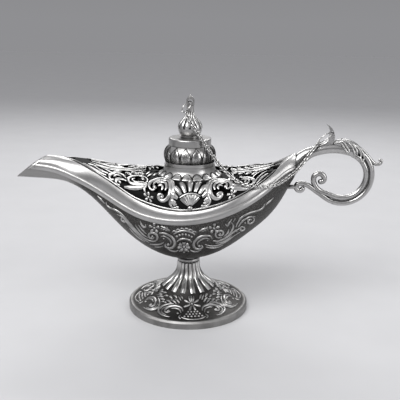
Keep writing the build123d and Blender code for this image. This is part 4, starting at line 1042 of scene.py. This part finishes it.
# %% [markdown]
# A long leaf wraps the top of the finger loop. Its body is a swelling tube that lies on the ridge of the bar
# and runs out into a curled tail, so it is drawn in the lamp's middle plane and stands out evenly to both
# sides. It takes the place of the CAD leaf. A second, shorter tube lets the thumb leaf grow out of the bar.

# %% Body of the handle's leaf
LEAF_SPINE = [
    (77.2, 94.3), (79.2, 94.9), (81.4, 95.2), (83.8, 95.1), (87.6, 93.9), (91.2, 91.8), (94.6, 88.9),
]
LEAF_TAIL = [
    (92.6, 92.6), (95.3, 90.2), (97.6, 87.6), (99.6, 85.3), (101.5, 84.1), (103.3, 84.1), (104.4, 85.2),
    (104.0, 86.4), (102.8, 86.3),
]
THUMB_ROOT = [(63.5, 90.6), (67.5, 92.5), (71.0, 93.8), (73.8, 95.4), (75.9, 97.9)]


def middle_plane(x, z, side):
    """Chart of the lamp's middle plane."""
    return Vector((x, 0, z)) * MM, Vector((0, side, 0))


drawing = new_drawing(sides=4, steps=8)
strand(drawing, LEAF_SPINE, width=2.8, start=0.45, end=0.4)
strand(drawing, LEAF_TAIL, width=1.0, start=0.7, end=0.6)
leaf_body = lay("leaf_body", drawing, [], middle_plane, "lamp", handle_wash_and_shade, rise=0.95, deep=0.95)
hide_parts("handle_leaf")
drawing = new_drawing(sides=4, steps=8)
strand(drawing, THUMB_ROOT, width=1.4, start=0.4, end=0.4)
lay("thumb_root", drawing, [], middle_plane, "lamp", handle_wash_and_shade, rise=1.2, deep=1.2)

# %% [markdown]
# Three long lobes sweep down over the leaf's cheeks and end in rounded tips. Each is one strand that runs
# out, turns and comes back, which leaves a dark groove down its middle. Their chart is the side view of the
# handle, and its rays meet whichever piece lies nearest to the viewer.

# %% Lobes of the handle's leaf
def handle_chart():
    """Side view of the handle: X and height."""
    bpy.context.view_layer.update()
    fresh = bpy.context.evaluated_depsgraph_get()
    pieces = [leaf_body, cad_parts["handle_loop"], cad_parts["handle_scroll"]]
    trees = [BVHTree.FromObject(piece, fresh) for piece in pieces]

    def surface(x, z, side):
        start, ray = Vector((x, side * REACH, z)) * MM, Vector((0, -side, 0))
        hits = [hit for hit in (tree.ray_cast(start, ray) for tree in trees) if hit[0]]
        spot = min(hits, key=lambda hit: hit[3])[0] if hits else Vector((x, side, z)) * MM
        return spot, -ray
    return surface


LOBES = [
    [(78.1, 96.2), (80.5, 96.1), (82.3, 94.4), (83.9, 92.1), (85.1, 90.8), (85.8, 91.4), (85.5, 92.4),
     (84.2, 94.0), (83.1, 95.7), (81.6, 97.1)],
    [(81.6, 97.6), (83.9, 97.0), (86.3, 95.0), (87.7, 93.3), (88.5, 91.3), (89.1, 89.7), (90.0, 88.9),
     (90.6, 89.6), (90.4, 91.1), (89.6, 92.7), (88.4, 94.3), (86.8, 95.8), (84.6, 97.2)],
    [(90.0, 94.1), (91.7, 92.1), (92.6, 89.9), (92.9, 87.7), (93.3, 85.7), (94.0, 85.5), (94.6, 86.7),
     (94.5, 88.2), (94.0, 90.0), (93.0, 91.6), (91.8, 93.4), (89.6, 95.0)],
]
drawing = new_drawing()
for lobe in LOBES:
    strand(drawing, lobe, width=0.62, start=0.6, end=0.6)
lay("leaf_lobes", drawing, [], handle_chart(), "lamp", bold_relief, rise=0.8, sides=BOTH_SIDES)
